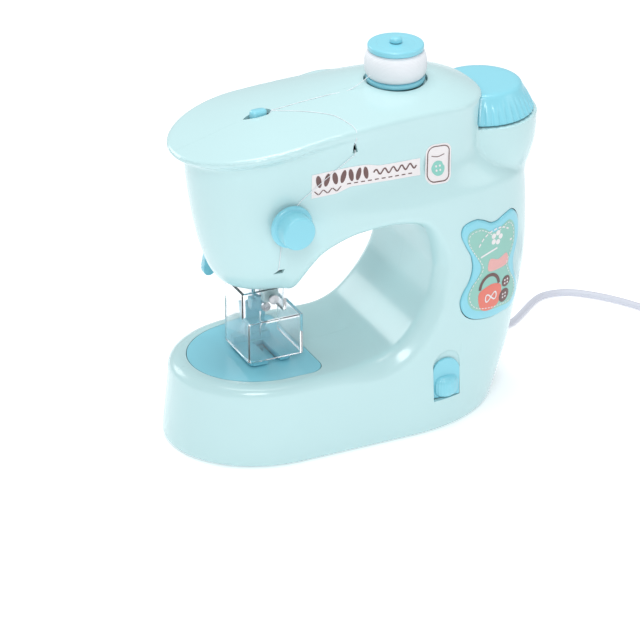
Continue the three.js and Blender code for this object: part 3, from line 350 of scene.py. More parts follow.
def refresh(obj, material, smooth_angle=35.0):
    paint(obj, material)
    obj.data.shade_smooth()
    obj.data.set_sharp_from_angle(angle=math.radians(smooth_angle))
    return obj


def new_piece(name, points, faces, material, smooth_angle=35.0):
    """Mesh object from points in mm from the needle axis."""
    mesh = bpy.data.meshes.new(name)
    corners = [tuple(p) for p in place(points)]
    mesh.from_pydata(corners, [], [tuple(int(i) for i in face) for face in faces])
    mesh.validate()
    fixer = bmesh.new()
    fixer.from_mesh(mesh)
    bmesh.ops.recalc_face_normals(fixer, faces=fixer.faces)
    fixer.to_mesh(mesh)
    fixer.free()
    return refresh(add_object(name, mesh), material, smooth_angle)


def settle(obj, body, slot, *replaced):
    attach(obj, body)
    if replaced:
        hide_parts(*replaced)
    return obj


def in_plan(a, b, t):
    return (a, b, t)


def in_front(a, b, t):
    return (a, t, b)


def in_side(a, b, t):
    return (t, a, b)


def forwards(a, b, t):
    return (a, -t, b)


def grid_faces(rows, count, tube=False, ring=True):
    """Quads between rows of count points. Each row is a ring or else a line; in a tube the
    last row also joins the first."""
    faces = []
    for i in range(rows if tube else rows - 1):
        j = (i + 1) % rows
        for k in range(count if ring else count - 1):
            m = (k + 1) % count
            faces.append((i * count + k, i * count + m, j * count + m, j * count + k))
    return faces


def fan_faces(tip, start, count):
    return [(tip, start + k, start + (k + 1) % count) for k in range(count)]


def capped_faces(rows, count):
    last = (rows - 1) * count
    return grid_faces(rows, count) + [tuple(range(count))[::-1], tuple(range(last, last + count))]


def arc(a, b, radius_a, radius_b, start, sweep, steps):
    """Points along an ellipse's arc, both ends included."""
    angles = [start + sweep * i / steps for i in range(steps + 1)]
    return [(a + radius_a * math.cos(t), b + radius_b * math.sin(t)) for t in angles]


def revolved(profile, segments, centre=(0, 0, 0), to_space=in_plan, ripple=None):
    """Points and faces of a closed turned shape. The profile is [radius, height] pairs from
    the axis and back to it, or a closed ring that doesn't touch it; ripple(angle, index)
    scales a ring."""
    profile = np.asarray(profile, float)
    closed = profile[0][0] > 1e-6
    rings = profile if closed else profile[1:-1]
    points = []
    for i, (radius, height) in enumerate(rings):
        for k in range(segments):
            angle = 2 * math.pi * k / segments
            r = radius * (ripple(angle, i) if ripple else 1)
            points.append(to_space(r * math.cos(angle), r * math.sin(angle), height))
    count = len(rings)
    faces = grid_faces(count, segments, tube=closed)
    if not closed:
        for end, ring in ((0, 0), (-1, count - 1)):
            points.append(to_space(0, 0, profile[end][1]))
            faces += fan_faces(len(points) - 1, ring * segments, segments)
    return np.asarray(points) + np.asarray(centre, float), faces


def rounded(profile, radius):
    """Rounds the corners of an open [r, z] profile, but not its ends."""
    steps = 3
    pts = [np.asarray(p, float) for p in profile]
    out = [pts[0]]
    for before, corner, after in zip(pts, pts[1:], pts[2:]):
        to_before, to_after = before - corner, after - corner
        la, lb = np.linalg.norm(to_before), np.linalg.norm(to_after)
        cut = min(radius, la * 0.45, lb * 0.45)
        start, end = corner + to_before / la * cut, corner + to_after / lb * cut
        for i in range(steps + 1):
            t = i / steps
            out.append((1 - t) ** 2 * start + 2 * t * (1 - t) * corner + t * t * end)
    out.append(pts[-1])
    return out


def smooth_line(points, per_step, closed=False):
    """Catmull-Rom line through points."""
    pts = [np.asarray(p, float) for p in points]
    count = len(pts)
    spans = count if closed else count - 1
    out = []
    for i in range(spans):
        if closed:
            p0, p1, p2, p3 = (pts[(i + k) % count] for k in (-1, 0, 1, 2))
        else:
            p0, p1, p2, p3 = (pts[min(max(i + k, 0), count - 1)] for k in (-1, 0, 1, 2))
        for s in range(per_step):
            t = s / per_step
            out.append(0.5 * (2 * p1 + (p2 - p0) * t + (2 * p0 - 5 * p1 + 4 * p2 - p3) * t * t
                              + (3 * p1 - p0 - 3 * p2 + p3) * t ** 3))
    if not closed:
        out.append(pts[-1])
    return np.array(out)


def swept(line, radius, sides):
    """Closed tube along a line of points, kept from twisting."""
    tangents = np.gradient(line, axis=0)
    tangents /= np.linalg.norm(tangents, axis=1)[:, None]
    up = np.array([0.0, 0.0, 1.0]) if abs(tangents[0][2]) < 0.9 else np.array([1.0, 0.0, 0.0])
    points = []
    for p, t in zip(line, tangents):
        side = np.cross(up, t)
        side /= np.linalg.norm(side)
        up = np.cross(t, side)
        for k in range(sides):
            a = 2 * math.pi * k / sides
            points.append(p + radius * (math.cos(a) * side + math.sin(a) * up))
    return np.array(points), capped_faces(len(line), sides)


def outward(line):
    """Unit normals that point out of a closed 2-D outline."""
    after = np.roll(line, -1, 0)
    ahead = after - np.roll(line, 1, 0)
    normal = np.stack([ahead[:, 1], -ahead[:, 0]], 1)
    normal /= np.linalg.norm(normal, axis=1)[:, None]
    area = np.sum(line[:, 0] * after[:, 1] - after[:, 0] * line[:, 1])
    return -normal if area < 0 else normal


def prism(outline_2d, low, high, edge, to_space, steps=3):
    """Slab from a closed 2-D outline with rounded edges; to_space(a, b, t) places it."""
    outline_2d = np.asarray(outline_2d, float)
    normal = outward(outline_2d)
    angles = [math.pi / 2 * i / steps for i in range(steps + 1)]
    rings = [(edge * (1 - math.sin(a)), low + edge * (1 - math.cos(a))) for a in angles]
    rings += [(edge * (1 - math.cos(a)), high - edge * (1 - math.sin(a))) for a in angles]
    points = [to_space(a, b, t) for inset, t in rings for a, b in outline_2d - normal * inset]
    return np.array(points), capped_faces(len(rings), len(outline_2d))


def bake(obj):
    """Makes what the modifiers give the object's own mesh."""
    depsgraph = bpy.context.evaluated_depsgraph_get()
    result = bpy.data.meshes.new_from_object(obj.evaluated_get(depsgraph))
    obj.modifiers.clear()
    obj.data = result


def boolean(obj, operation, *tools):
    """Joins or cuts with other objects, then removes them."""
    for tool in tools:
        modifier = obj.modifiers.new("cut", "BOOLEAN")
        modifier.operation = operation
        modifier.solver = "MANIFOLD"
        modifier.object = tool
        bake(obj)
    for tool in tools:
        bpy.data.objects.remove(tool)


# ---------- the body's form, as in the CAD source ----------

THROAT = [
    (9, HEAD_BOTTOM), (12.5, 88), (16.5, 95.5), (21.5, 101.5), (31.5, 107.3), (41, 109.8),
    (53, 110.8), (64, 109.4), (70, 106), (74, 98), (76.5, 87), (76, 80), (73, 68.5), (66.5, 57),
    (57.5, 47.5), (48.5, 43), (38, 41.3), (26, BASE_TOP),
]
BOWL = [
    (74, 9), (78, 13), (82, 21), (88, 26), (95, 29), (105, 32), (116, 34.3), (126, 35.8),
    (136, 37), (150, 38),
]
COLUMN_EDGE = [
    (0, 120), (6, 122.5), (20, 128), (30, 131.5), (50, 135.8), (70, 138.6), (98, 138.8),
    (116, 137.6), (124, 136.6), (134, 134),
]
CUP = [(98, 10), (104, 15), (112, 20), (118, 22.8), (124, 25), (132, 26.9), (139, 27.6)]
LIP = {"x": 2, "reach": 46, "depth": 38.6}
ARM_END = {"x": 76, "reach": 36, "depth": 33.8}
BASE_LEFT = {"x": 2, "reach": 47, "depth": 41}
BASE_RIGHT = {"x": 62, "depth": 41}


def mix(a, b, t):
    return a + (b - a) * t


def smoothstep(a, b, t):
    u = np.clip((t - a) / (b - a), 0, 1)
    return u * u * (3 - 2 * u)


def smooth_max(a, b, k):
    h = np.maximum(k - np.abs(a - b), 0) / k
    return np.maximum(a, b) + h * h * k * 0.25


def smooth_min(a, b, k):
    return -smooth_max(-a, -b, k)


def through(pairs, x):
    """Smooth curve through [x, value] pairs, level beyond both ends."""
    xs = np.array([p[0] for p in pairs], float)
    ys = np.array([p[1] for p in pairs], float)
    last = len(xs) - 1
    x = np.clip(x, xs[0], xs[last])
    i = np.clip(np.searchsorted(xs, x, side="right") - 1, 0, last - 1)
    before, after = np.maximum(i - 1, 0), np.minimum(i + 2, last)
    m0 = (ys[i + 1] - ys[before]) / (xs[i + 1] - xs[before])
    m1 = (ys[after] - ys[i]) / (xs[after] - xs[i])
    d = xs[i + 1] - xs[i]
    t = (x - xs[i]) / d
    return ((2 * t ** 3 - 3 * t ** 2 + 1) * ys[i] + (t ** 3 - 2 * t ** 2 + t) * d * m0
            + (3 * t ** 2 - 2 * t ** 3) * ys[i + 1] + (t ** 3 - t ** 2) * d * m1)


def rim_height(x):
    return EDGE_HEIGHT - 0.0009 * (RIM_PEAK_X - x) ** 2


def outline(x, z):
    """Ends and depths of the plan outline that passes through height z near x."""
    above = z - rim_height(x)
    to_head = smoothstep(44, 68, z)
    to_arm = smoothstep(118, 140, z)
    lean = mix(1.08, 1, smoothstep(-6, 44, z))
    slim = 2 * smoothstep(45, 90, z)
    bowl = through(BOWL, z) / LIP["reach"]
    head = bowl + (1 - bowl) / (1 + np.exp(-(above + 4.6) / 1.15))
    side = 0.9 + 0.06 * smoothstep(116, 150, z)
    arm = side + (1 - side) / (1 + np.exp(-(above + 5) / 2.5))
    fill = mix(head, arm, smoothstep(-6, 58, x))
    left = mix(BASE_LEFT["x"], LIP["x"], to_head)
    reach_left = mix(BASE_LEFT["reach"] * lean, LIP["reach"] * fill, to_head)
    depth_left = mix(BASE_LEFT["depth"] * lean - slim, LIP["depth"] * fill, to_head)
    right = mix(BASE_RIGHT["x"], ARM_END["x"], to_arm)
    reach_right = mix(through(COLUMN_EDGE, z) - BASE_RIGHT["x"], ARM_END["reach"], to_arm)
    depth_right = mix(BASE_RIGHT["depth"] * lean - slim, ARM_END["depth"] * fill, to_arm)
    power = mix(2.05, 2.3, smoothstep(45, 90, z))
    return left, reach_left, depth_left, right, reach_right, depth_right, power


def side_field(x, y, z):
    """Distance out of the plan outline; also how far along its depth the point is."""
    left, reach_left, depth_left, right, reach_right, depth_right, power = outline(x, z)
    y = np.abs(y)
    past_left = np.maximum(left - x, 0) / reach_left
    past_right = np.maximum(x - right, 0) / reach_right
    along = np.clip((x - left) / (right - left), 0, 1)
    depth = mix(depth_left, depth_right, along)
    at_left = np.sqrt(past_left ** 2 + (y / depth) ** 2)
    at_right = (past_right ** power + (y / depth) ** power) ** (1 / power)
    share = np.where(x < left, at_left, np.where(x > right, at_right, y / depth))
    return (share - 1) * depth, share


def top_height(x, share):
    """Height of the domed top."""
    left, reach_left, _, right, reach_right, _, power = outline(x, rim_height(x))
    past_left = np.clip((left - x) / reach_left, 0, 1)
    past_right = np.clip((x - right) / reach_right, 0, 1)
    u_right = np.arcsin(past_right ** (power / 2)) * 2 / math.pi
    u = np.where(x < left, np.arccos(past_left) * 2 / math.pi,
                 np.where(x > right, 2 + u_right, 1 + (x - left) / (right - left)))
    end = np.where(x < left, past_left ** 2, u_right ** 3)
    dome = CROWN * (1 - np.clip(share, 0, 1.2) ** 2) * (1 - 0.85 * end) * mix(0.67, 1, u - 1)
    return rim_height(x) + dome


def polygon_distance(x, z, line):
    """Signed distance to a closed polygon in X and Z, negative inside."""
    flat = np.stack([np.ravel(x), np.ravel(z)], 1)
    best = np.full(len(flat), 1e9)
    inside = np.zeros(len(flat), bool)
    for a, b in zip(line, np.roll(line, -1, 0)):
        d = b - a
        t = np.clip(((flat - a) @ d) / (d @ d), 0, 1)
        best = np.minimum(best, np.linalg.norm(flat - a - t[:, None] * d, axis=1))
        crosses = (a[1] > flat[:, 1]) != (b[1] > flat[:, 1])
        if d[1] != 0:
            inside ^= crosses & (flat[:, 0] < a[0] + (flat[:, 1] - a[1]) * d[0] / d[1])
    return np.where(inside, -best, best).reshape(np.shape(x))


THROAT_STEP = 0.5
THROAT_X = np.arange(-60, 110, THROAT_STEP)
THROAT_Z = np.arange(20, 135, THROAT_STEP)


def throat_table():
    edge = smooth_line(THROAT, 8)
    corners = [(-120, BASE_TOP), (-120, HEAD_BOTTOM), (-30, HEAD_BOTTOM)]
    line = np.array(corners + [tuple(p) for p in edge] + [(-30, BASE_TOP)])
    gx, gz = np.meshgrid(THROAT_X, THROAT_Z, indexing="ij")
    return polygon_distance(gx, gz, line)


THROAT_DISTANCE = throat_table()


def throat_distance(x, z):
    """Table look-up of the distance to the opening under the arm."""
    i = np.clip((x - THROAT_X[0]) / THROAT_STEP, 0, len(THROAT_X) - 1.001)
    k = np.clip((z - THROAT_Z[0]) / THROAT_STEP, 0, len(THROAT_Z) - 1.001)
    i0, k0 = i.astype(int), k.astype(int)
    fi, fj = i - i0, k - k0
    t = THROAT_DISTANCE
    return (t[i0, k0] * (1 - fi) * (1 - fj) + t[i0 + 1, k0] * fi * (1 - fj)
            + t[i0, k0 + 1] * (1 - fi) * fj + t[i0 + 1, k0 + 1] * fi * fj)


def body_field(x, y, z):
    """Negative inside the body's outer form, in mm near its surface."""
    side, share = side_field(x, y, z)
    form = smooth_max(side, z - top_height(x, share), 2.2)
    form = smooth_max(form, FOOT_HEIGHT - z, 2.0)
    radius = np.hypot(x - WHEEL_X, y)
    cup = smooth_max(radius - through(CUP, z), 98 - z, 6)
    cup = np.maximum(cup, z - (WHEEL_Z + 1))
    form = smooth_min(form, cup, 1.4)
    low = smoothstep(112, 84, z) * smoothstep(18, 48, x)
    chamfer = mix(3, 6.4, low)
    grown = smooth_max(side + chamfer, 0, 3)
    form = smooth_max(form, grown - throat_distance(x, z), 2.0)
    room = smooth_max(radius - (WHEEL_R + 1.2), WHEEL_Z - 0.8 - z, 0.8)
    room = smooth_max(room, z - (WHEEL_Z + WHEEL_HEIGHT + 0.7), 0.8)
    return smooth_max(form, -room, 0.8)


def surface_net(low, high, step, field):
    """Quads over field = 0: one vertex in each cell that the surface crosses."""
    axes = [np.arange(a, b + step, step) for a, b in zip(low, high)]
    slabs = [field(gx, gy, gz) for gx, gy, gz in (
        np.broadcast_arrays(x, axes[1][:, None], axes[2][None, :]) for x in axes[0])]
    values = np.array(slabs, np.float32)
    inside = values < 0
    nx, ny, nz = (n - 1 for n in values.shape)
    corners = [(i, j, k) for i in (0, 1) for j in (0, 1) for k in (0, 1)]
    count = np.zeros((nx, ny, nz), np.int8)
    for i, j, k in corners:
        count += inside[i:nx + i, j:ny + j, k:nz + k]
    cells = np.argwhere((count > 0) & (count < 8))
    number = np.full((nx, ny, nz), -1, np.int64)
    number[tuple(cells.T)] = np.arange(len(cells))
    total = np.zeros((len(cells), 3))
    hits = np.zeros(len(cells))
    for a in corners:
        for axis in range(3):
            if a[axis]:
                continue
            b = tuple(a[m] + (m == axis) for m in range(3))
            va = values[tuple((cells + a).T)]
            vb = values[tuple((cells + b).T)]
            crossing = (va < 0) != (vb < 0)
            t = np.where(crossing, va / np.where(crossing, va - vb, 1), 0)
            point = cells + np.array(a) + t[:, None] * np.eye(3)[axis]
            total += np.where(crossing[:, None], point, 0)
            hits += crossing
    points = total / hits[:, None] * step + np.array(low)
    faces = []
    for axis in range(3):
        b, c = (axis + 1) % 3, (axis + 2) % 3
        shift = np.eye(3, dtype=int)
        here = inside[:nx, :ny, :nz]
        there = inside[tuple(slice(shift[axis][m], shift[axis][m] + (nx, ny, nz)[m]) for m in range(3))]
        edges = np.argwhere(here != there)
        edges = edges[(edges[:, b] > 0) & (edges[:, c] > 0)]
        flip = here[tuple(edges.T)]
        quad = [number[tuple((edges - p).T)] for p in (
            shift[b] + shift[c], shift[c], 0 * shift[b], shift[b])]
        quad = np.stack(quad, 1)
        quad[~flip] = quad[~flip][:, ::-1]
        faces.append(quad)
    return points, np.concatenate(faces)


def project(points, field, rounds=3, reach=1.2):
    """Moves points onto field = 0 along its slope."""
    e = 0.05
    for _ in range(rounds):
        x, y, z = points.T
        value = field(x, y, z)
        slope = np.stack([
            field(x + e, y, z) - field(x - e, y, z),
            field(x, y + e, z) - field(x, y - e, z),
            field(x, y, z + e) - field(x, y, z - e),
        ], 1) / (2 * e)
        step = value[:, None] * slope / np.maximum((slope ** 2).sum(1), 0.05)[:, None]
        length = np.linalg.norm(step, axis=1)[:, None]
        points = points - step * np.minimum(1, reach / np.maximum(length, 1e-9))
    return points


def solid_of(name, field, step):
    low = (-52.0, -48.0, -2.0)
    high = (150.0, 48.0, 176.0)
    points, faces = surface_net(low, high, step, field)
    points = project(points, field)
    return new_piece(name, points, faces, MINT)


def cutter(name, points, faces):
    return new_piece(name, points, faces, MINT)


def slab_cutter(name, outline_2d, low, high, to_space=in_front):
    return cutter(name, *prism(outline_2d, low, high, 0, to_space, 1))


def cut_box(name, x0, x1, y0, y1, z0, z1):
    return slab_cutter(name, [(x0, z0), (x1, z0), (x1, z1), (x0, z1)], y0, y1)


def rod_cutter(radius, start, end, centre, to_space=in_plan, segments=48):
    profile = [(0, start), (radius, start), (radius, end), (0, end)]
    return cutter("rod", *revolved(profile, segments, centre, to_space))


def surface_y(x, z):
    """Y of the body's front face at a place on it."""
    x, z = np.asarray(x, float), np.asarray(z, float)
    y = np.full(np.shape(x), 30.0)
    for _ in range(12):
        side, _ = side_field(x, y, z)
        y = y - side * 0.9
    return -y


def on_front(line, proud):
    """Places in X and Z as points on the body's front, proud mm out of its skin."""
    line = np.asarray(line, float)
    return list(zip(line[:, 0], surface_y(line[:, 0], line[:, 1]) - proud, line[:, 1]))


# ---------- USB lead ----------

CORD_R = 1.75
CORD_EXIT = (110, 26.4, 9)
CORD_DIRECTION = (0.94, 0.34, 0)
LYING_Z = 1.85
CORD_ROUTE = [(123.6, 31.3, 9), (130, 33.7, 8.4), (137, 36, 6.4), (144, 36.8, 4), (152, 37.6, 2.2)]
CORD_ROUTE += [(x, y, LYING_Z) for x, y in (
    (160.6, 40.2), (169.5, 46.6), (178.9, 54.2), (187, 59.2), (195.4, 60), (204.4, 57),
    (212.6, 50), (219.8, 41.6), (225.8, 32.4), (231.2, 22), (235.3, 13.1),
)]
COIL_CENTRE = (263, 6)
COIL_OUTER = 24.5
COIL_INNER = 14.0
COIL_HIGH = 5.35
CORD_TAIL = [
    (287.4, 14, 5.3), (287.5, 22, 4.6), (287.6, 31.4, 3.4), (287.2, 36, 2.3), (285.2, 41.4, 1.9),
    (281.6, 45.6, 1.9), (276.4, 47.6, 1.9),
]
# Radius against turns: in on the floor, up at the middle, and out again on top
COIL_RADIUS = [
    (0, COIL_OUTER), (1.25, 20.1), (2.5, 15.8), (3, COIL_INNER), (3.5, 17.8), (4, 18),
    (4.5, 21.3), (5, 21.6), (5.5, COIL_OUTER),
]
COIL_TURNS = 5.5
POINTS_PER_TURN = 20


def coil_points():
    points = []
    for i in range(int(COIL_TURNS * POINTS_PER_TURN) + 1):
        turns = i / POINTS_PER_TURN
        angle = math.pi + 2 * math.pi * turns
        radius = float(through(COIL_RADIUS, turns))
        rise = float(smoothstep(2.5, 3.0, turns))
        points.append((
            COIL_CENTRE[0] + radius * math.cos(angle),
            COIL_CENTRE[1] + radius * math.sin(angle),
            mix(LYING_Z, COIL_HIGH, rise),
        ))
    return points


def along_cord(points):
    """Turns points from the Z axis to the lead's direction and moves them to its hole."""
    axis = Vector(CORD_DIRECTION).normalized()
    turn = Vector((0, 0, 1)).rotation_difference(axis).to_matrix()
    return points @ np.array(turn).T + np.array(CORD_EXIT)


def make_cord():
    line = place(smooth_line(CORD_ROUTE + coil_points() + CORD_TAIL, 3))
    curve = bpy.data.curves.new("usb_lead", "CURVE")
    curve.dimensions = "3D"
    spline = curve.splines.new("POLY")
    spline.points.add(len(line) - 1)
    for point, where in zip(spline.points, line):
        point.co = (*where, 1)
    curve.bevel_depth = CORD_R * MM
    curve.bevel_resolution = 4
    curve.use_fill_caps = True
    curve.materials.append(LEAD)
    obj = add_object("usb_lead", curve)
    settle(obj, "machine", "lead", "cord", "cord_coil", "cord_tail")
    plug, shell = make_plug()
    make_relief()


def make_relief():
    """Ribbed sleeve that keeps the lead from kinking where it leaves the column."""
    profile = [(CORD_R + 0.35, -9), (4.4, -9), (4.4, -7), (3.2, -7), (3.2, 0)]
    for i in range(5):
        start = 0.6 + i * 2.6
        r = 3.2 - 0.6 * start / 14
        profile += [(r, start), (r, start + 1.5), (r - 0.45, start + 1.7), (r - 0.45, start + 2.4)]
    profile += [(2.6, 13.6), (2.4, 14), (CORD_R + 0.35, 14)]
    points, faces = revolved(profile, 48)
    piece = new_piece("relief_sleeve", along_cord(points), faces, LEAD)
    return settle(piece, "machine", "lead", "cord_relief")


def make_plug():
    low, high = box("usb_plug")
    back = low[0] + 12.4
    grip = rounded_rectangle(low[1], high[1], low[2], high[2], 1.6)
    body = new_piece("plug_body", *prism(grip, back, high[0], 1.2, in_side), LEAD)
    tongue = rounded_rectangle(low[1] + 0.8, high[1] - 0.8, 0.9, 5.4, 0.5)
    shell = new_piece("plug_shell", *prism(tongue, low[0], back + 0.5, 0.2, in_side), CHROME)
    mouth = cut_box("mouth", low[0] - 1, low[0] + 9, low[1] + 1.2, high[1] - 1.2, 1.3, 5.0)
    boolean(shell, "DIFFERENCE", mouth)
    refresh(shell, CHROME)
    settle(shell, "machine", "steel")
    return settle(body, "machine", "lead", "usb_plug"), shell


def rounded_rectangle(a0, a1, b0, b1, radius, steps=4):
    corners = [(a1 - radius, b1 - radius), (a0 + radius, b1 - radius),
               (a0 + radius, b0 + radius), (a1 - radius, b0 + radius)]
    outline_2d = []
    for i, (a, b) in enumerate(corners):
        outline_2d += arc(a, b, radius, radius, math.pi / 2 * i, math.pi / 2, steps)
    return outline_2d


# ---------- shells ----------

PANEL = [
    (89.4, 104.5), (95.8, 106), (101, 104.4), (105.5, 101.9), (109.5, 101.6), (114.6, 103.2),
    (120, 103.8), (124.2, 99.5), (125.8, 92), (124.8, 84.5), (122.6, 77), (123.4, 69.5),
    (127, 61), (127.8, 53.5), (123.4, 49), (115, 49.4), (105.2, 50.4), (94.8, 53.5),
    (89.4, 58), (87.4, 64), (89, 69), (92.8, 74.5), (94.6, 81), (93.6, 87.5), (90.3, 93.8),
    (87.8, 100),
]
PANEL_MIDDLE = np.array([107.0, 78.0])
SWITCH_X = (slide_low[0] + slide_high[0]) / 2
SWITCH_Z = slide_low[2] + 8.5
SWITCH_TRAVEL = 4.0
EYE_HALF = [(-7.5, 0), (-4.6, -1.9), (-1.2, -3.1), (3, -3.4), (5.6, -2.2), (6.4, 0)]
EYE = EYE_HALF + [(x, -y) for x, y in EYE_HALF[-2:0:-1]]
LEFT_SLIT = [(-3.4, 92.2), (1.2, 92.4), (2.0, 94.6), (-0.8, 94.3)]
ARM_SLIT = [(32.6, 151.2), (35.2, 151.9), (33.8, 156.6), (33.0, 156.6)]


def panel_outline(grow):
    points = []
    for point in PANEL:
        away = np.array(point) - PANEL_MIDDLE
        points.append(np.array(point) + away / np.linalg.norm(away) * grow)
    return smooth_line(points, 6, closed=True)


def skin_field(x, y, z):
    """The body with its rear lug, which a thread guide is moulded from."""
    lug = (np.sqrt(((x - 47) / 9) ** 2 + ((y - 33.6) / 3.4) ** 2 + ((z - 162) / 2.6) ** 2) - 1) * 2.6
    return smooth_min(body_field(x, y, z), lug, 1.2)


def room_field(x, y, z):
    return body_field(x, y, z) + WALL


def plan_end(x, r_x, depth, start):
    """Half an ellipse in plan, from straight down (or up) round to the other side."""
    return arc(x, 0, r_x, depth, start, math.pi, 40)


def plate_outline(grow):
    depth, right = 32 + grow, 20 + grow
    corners = []
    for y, start in ((-depth + 8, -math.pi / 2), (depth - 8, 0)):
        corners += arc(right - 8, y, 8, 8, start, math.pi / 2, 9)
    return corners + plan_end(0, 36 + grow, depth, math.pi / 2)


def floor_outline(grow):
    return (plan_end(78, 36 + grow, 33 + grow, -math.pi / 2)
            + plan_end(4, 36 + grow, 33 + grow, math.pi / 2))


def switch_outline(grow, travel):
    half = 7.35 + grow
    bottom = SWITCH_Z - 8.5 - grow
    top = SWITCH_Z + 4.75 + travel
    arch = arc(SWITCH_X, top, half, half, 0, math.pi, 24)
    return [(SWITCH_X - half, bottom), (SWITCH_X + half, bottom)] + arch


def screw_cutters():
    tools = []
    for node in ("shell_screw_1", "shell_screw_2"):
        low, high = box(node)
        centre = ((low[0] + high[0]) / 2, 0, (low[2] + high[2]) / 2)
        tools.append(rod_cutter(3.0, -60, -high[1] + 0.9, centre, forwards, 24))
        tools.append(rod_cutter(1.4, -60, -low[1] - 4, centre, forwards, 16))
    return tools


def shell_openings():
    lifter_low, lifter_high = box("presser_lifter")
    pivot = ((lifter_low[0] + lifter_high[0]) / 2 + 1.8, 0, 100)
    cord_hole, cord_faces = revolved([(0, -12), (3.5, -12), (3.5, 12), (0, 12)], 32)
    return [
        slab_cutter("panel_hole", panel_outline(0), -60, -10),
        slab_cutter("switch_hole", switch_outline(0.35, SWITCH_TRAVEL), -60, -30),
        slab_cutter("plate_hole", plate_outline(0.3), BASE_TOP - 6, BASE_TOP + 6, in_plan),
        slab_cutter("floor_hole", floor_outline(0.35), -4, FOOT_HEIGHT + WALL + 0.4, in_plan),
        slab_cutter("eye", smooth_line(EYE, 6, closed=True), 150, 178, in_plan),
        rod_cutter(15.2, 158, 182, (SPOOL_X, 0, 0), segments=96),
        rod_cutter(2.6, 70, 90, (0, 0, 0)),
        rod_cutter(2.4, 70, 90, (0, 9.5, 0)),
        rod_cutter(2.6, 20, 46, (KNOB_X, 0, KNOB_Z), forwards),
        rod_cutter(2.4, WHEEL_Z - 6, WHEEL_Z + 1, (WHEEL_X, 0, 0)),
        rod_cutter(2.7, -42, -15, pivot, forwards),
        cutter("cord_hole", along_cord(cord_hole), cord_faces),
        slab_cutter("arm_slit", ARM_SLIT, -60, -20),
        slab_cutter("left_slit", LEFT_SLIT, -60, -12),
    ] + screw_cutters()


def make_shells():
    skin = solid_of("skin", skin_field, 1.1)
    boolean(skin, "DIFFERENCE", solid_of("room", room_field, 2.4))
    boolean(skin, "UNION", cut_box("boss", -1.6, 5.6, -8.6, -4.6, 70.6, HEAD_BOTTOM + 2))
    boolean(skin, "DIFFERENCE", *shell_openings())
    half_well = (slide_high[0] - slide_low[0]) / 2 + 1.6
    well_floor = surface_y(SWITCH_X, SWITCH_Z) + 2.3
    boolean(skin, "UNION", cut_box("well", SWITCH_X - half_well, SWITCH_X + half_well, well_floor,
                                   well_floor + 0.8, SWITCH_Z - 10, SWITCH_Z + 17.6))
    for name, y0, y1 in (("front_shell", -SEAM / 2, 80), ("rear_shell", -80, SEAM / 2)):
        half = add_object(name + "_skin", skin.data.copy())
        boolean(half, "DIFFERENCE", cut_box("half", -90, 200, y0, y1, -10, 210))
        settle(refresh(half, MINT, 28), "machine", "mint_shell", name)
    bpy.data.objects.remove(skin)


# ---------- pieces on the outside ----------

def softened(node, name, body, slot, material, width):
    """A CAD node's own shape with its edges rounded, as moulded parts have."""
    obj = add_object(name, bpy.data.objects[node].data.copy())
    paint(obj, material)
    cleaner = bmesh.new()
    cleaner.from_mesh(obj.data)
    bmesh.ops.remove_doubles(cleaner, verts=cleaner.verts, dist=0.00001)
    bmesh.ops.dissolve_limit(
        cleaner, angle_limit=math.radians(1.5), verts=cleaner.verts, edges=cleaner.edges)
    cleaner.to_mesh(obj.data)
    cleaner.free()
    bevel = obj.modifiers.new("edges", "BEVEL")
    bevel.width = width * MM
    bevel.segments = 3
    bevel.limit_method = "ANGLE"
    bevel.angle_limit = math.radians(40)
    bake(obj)
    return settle(refresh(obj, material), body, slot, node)


def make_wheel():
    ribs, per_rib = 40, 12
    # How far each ring is in from the wheel's edge, its height, and how deep its ribs are.
    rings = [
        (2.4, 0.0, 0), (0.5, 0.05, 0.2), (0, 0.5, 0.8), (0.2, 1.2, 1), (0.9, 2.6, 1), (1.6, 4.0, 0.9),
        (2.4, 5.6, 0.75), (3.3, 7.2, 0.5), (4.2, 8.6, 0.25), (5.1, 10.0, 0.1), (5.7, 11.2, 0),
        (6.2, 12.2, 0), (6.9, 12.9, 0), (8.0, 13.25, 0), (10, 13.3, 0), (16, 13.35, 0),
    ]
    profile = [(0, 0)] + [(WHEEL_R - inward, z) for inward, z, _ in rings] + [(0, WHEEL_HEIGHT - 0.1)]

    def ripple(angle, ring):
        wave = 0.5 - 0.5 * math.cos(ribs * angle)
        return 1 - rings[ring][2] * 0.9 / WHEEL_R * wave ** 2.2

    points, faces = revolved(profile, ribs * per_rib, (WHEEL_X, 0, WHEEL_Z), in_plan, ripple)
    wheel = new_piece("ribbed_wheel", points, faces, BLUE, 40)
    boolean(wheel, "DIFFERENCE", rod_cutter(2.35, WHEEL_Z - 1, WHEEL_Z + 8, (WHEEL_X, 0, 0)))
    refresh(wheel, BLUE, 40)
    settle(wheel, "hand_wheel", "blue_plastic", "hand_wheel")


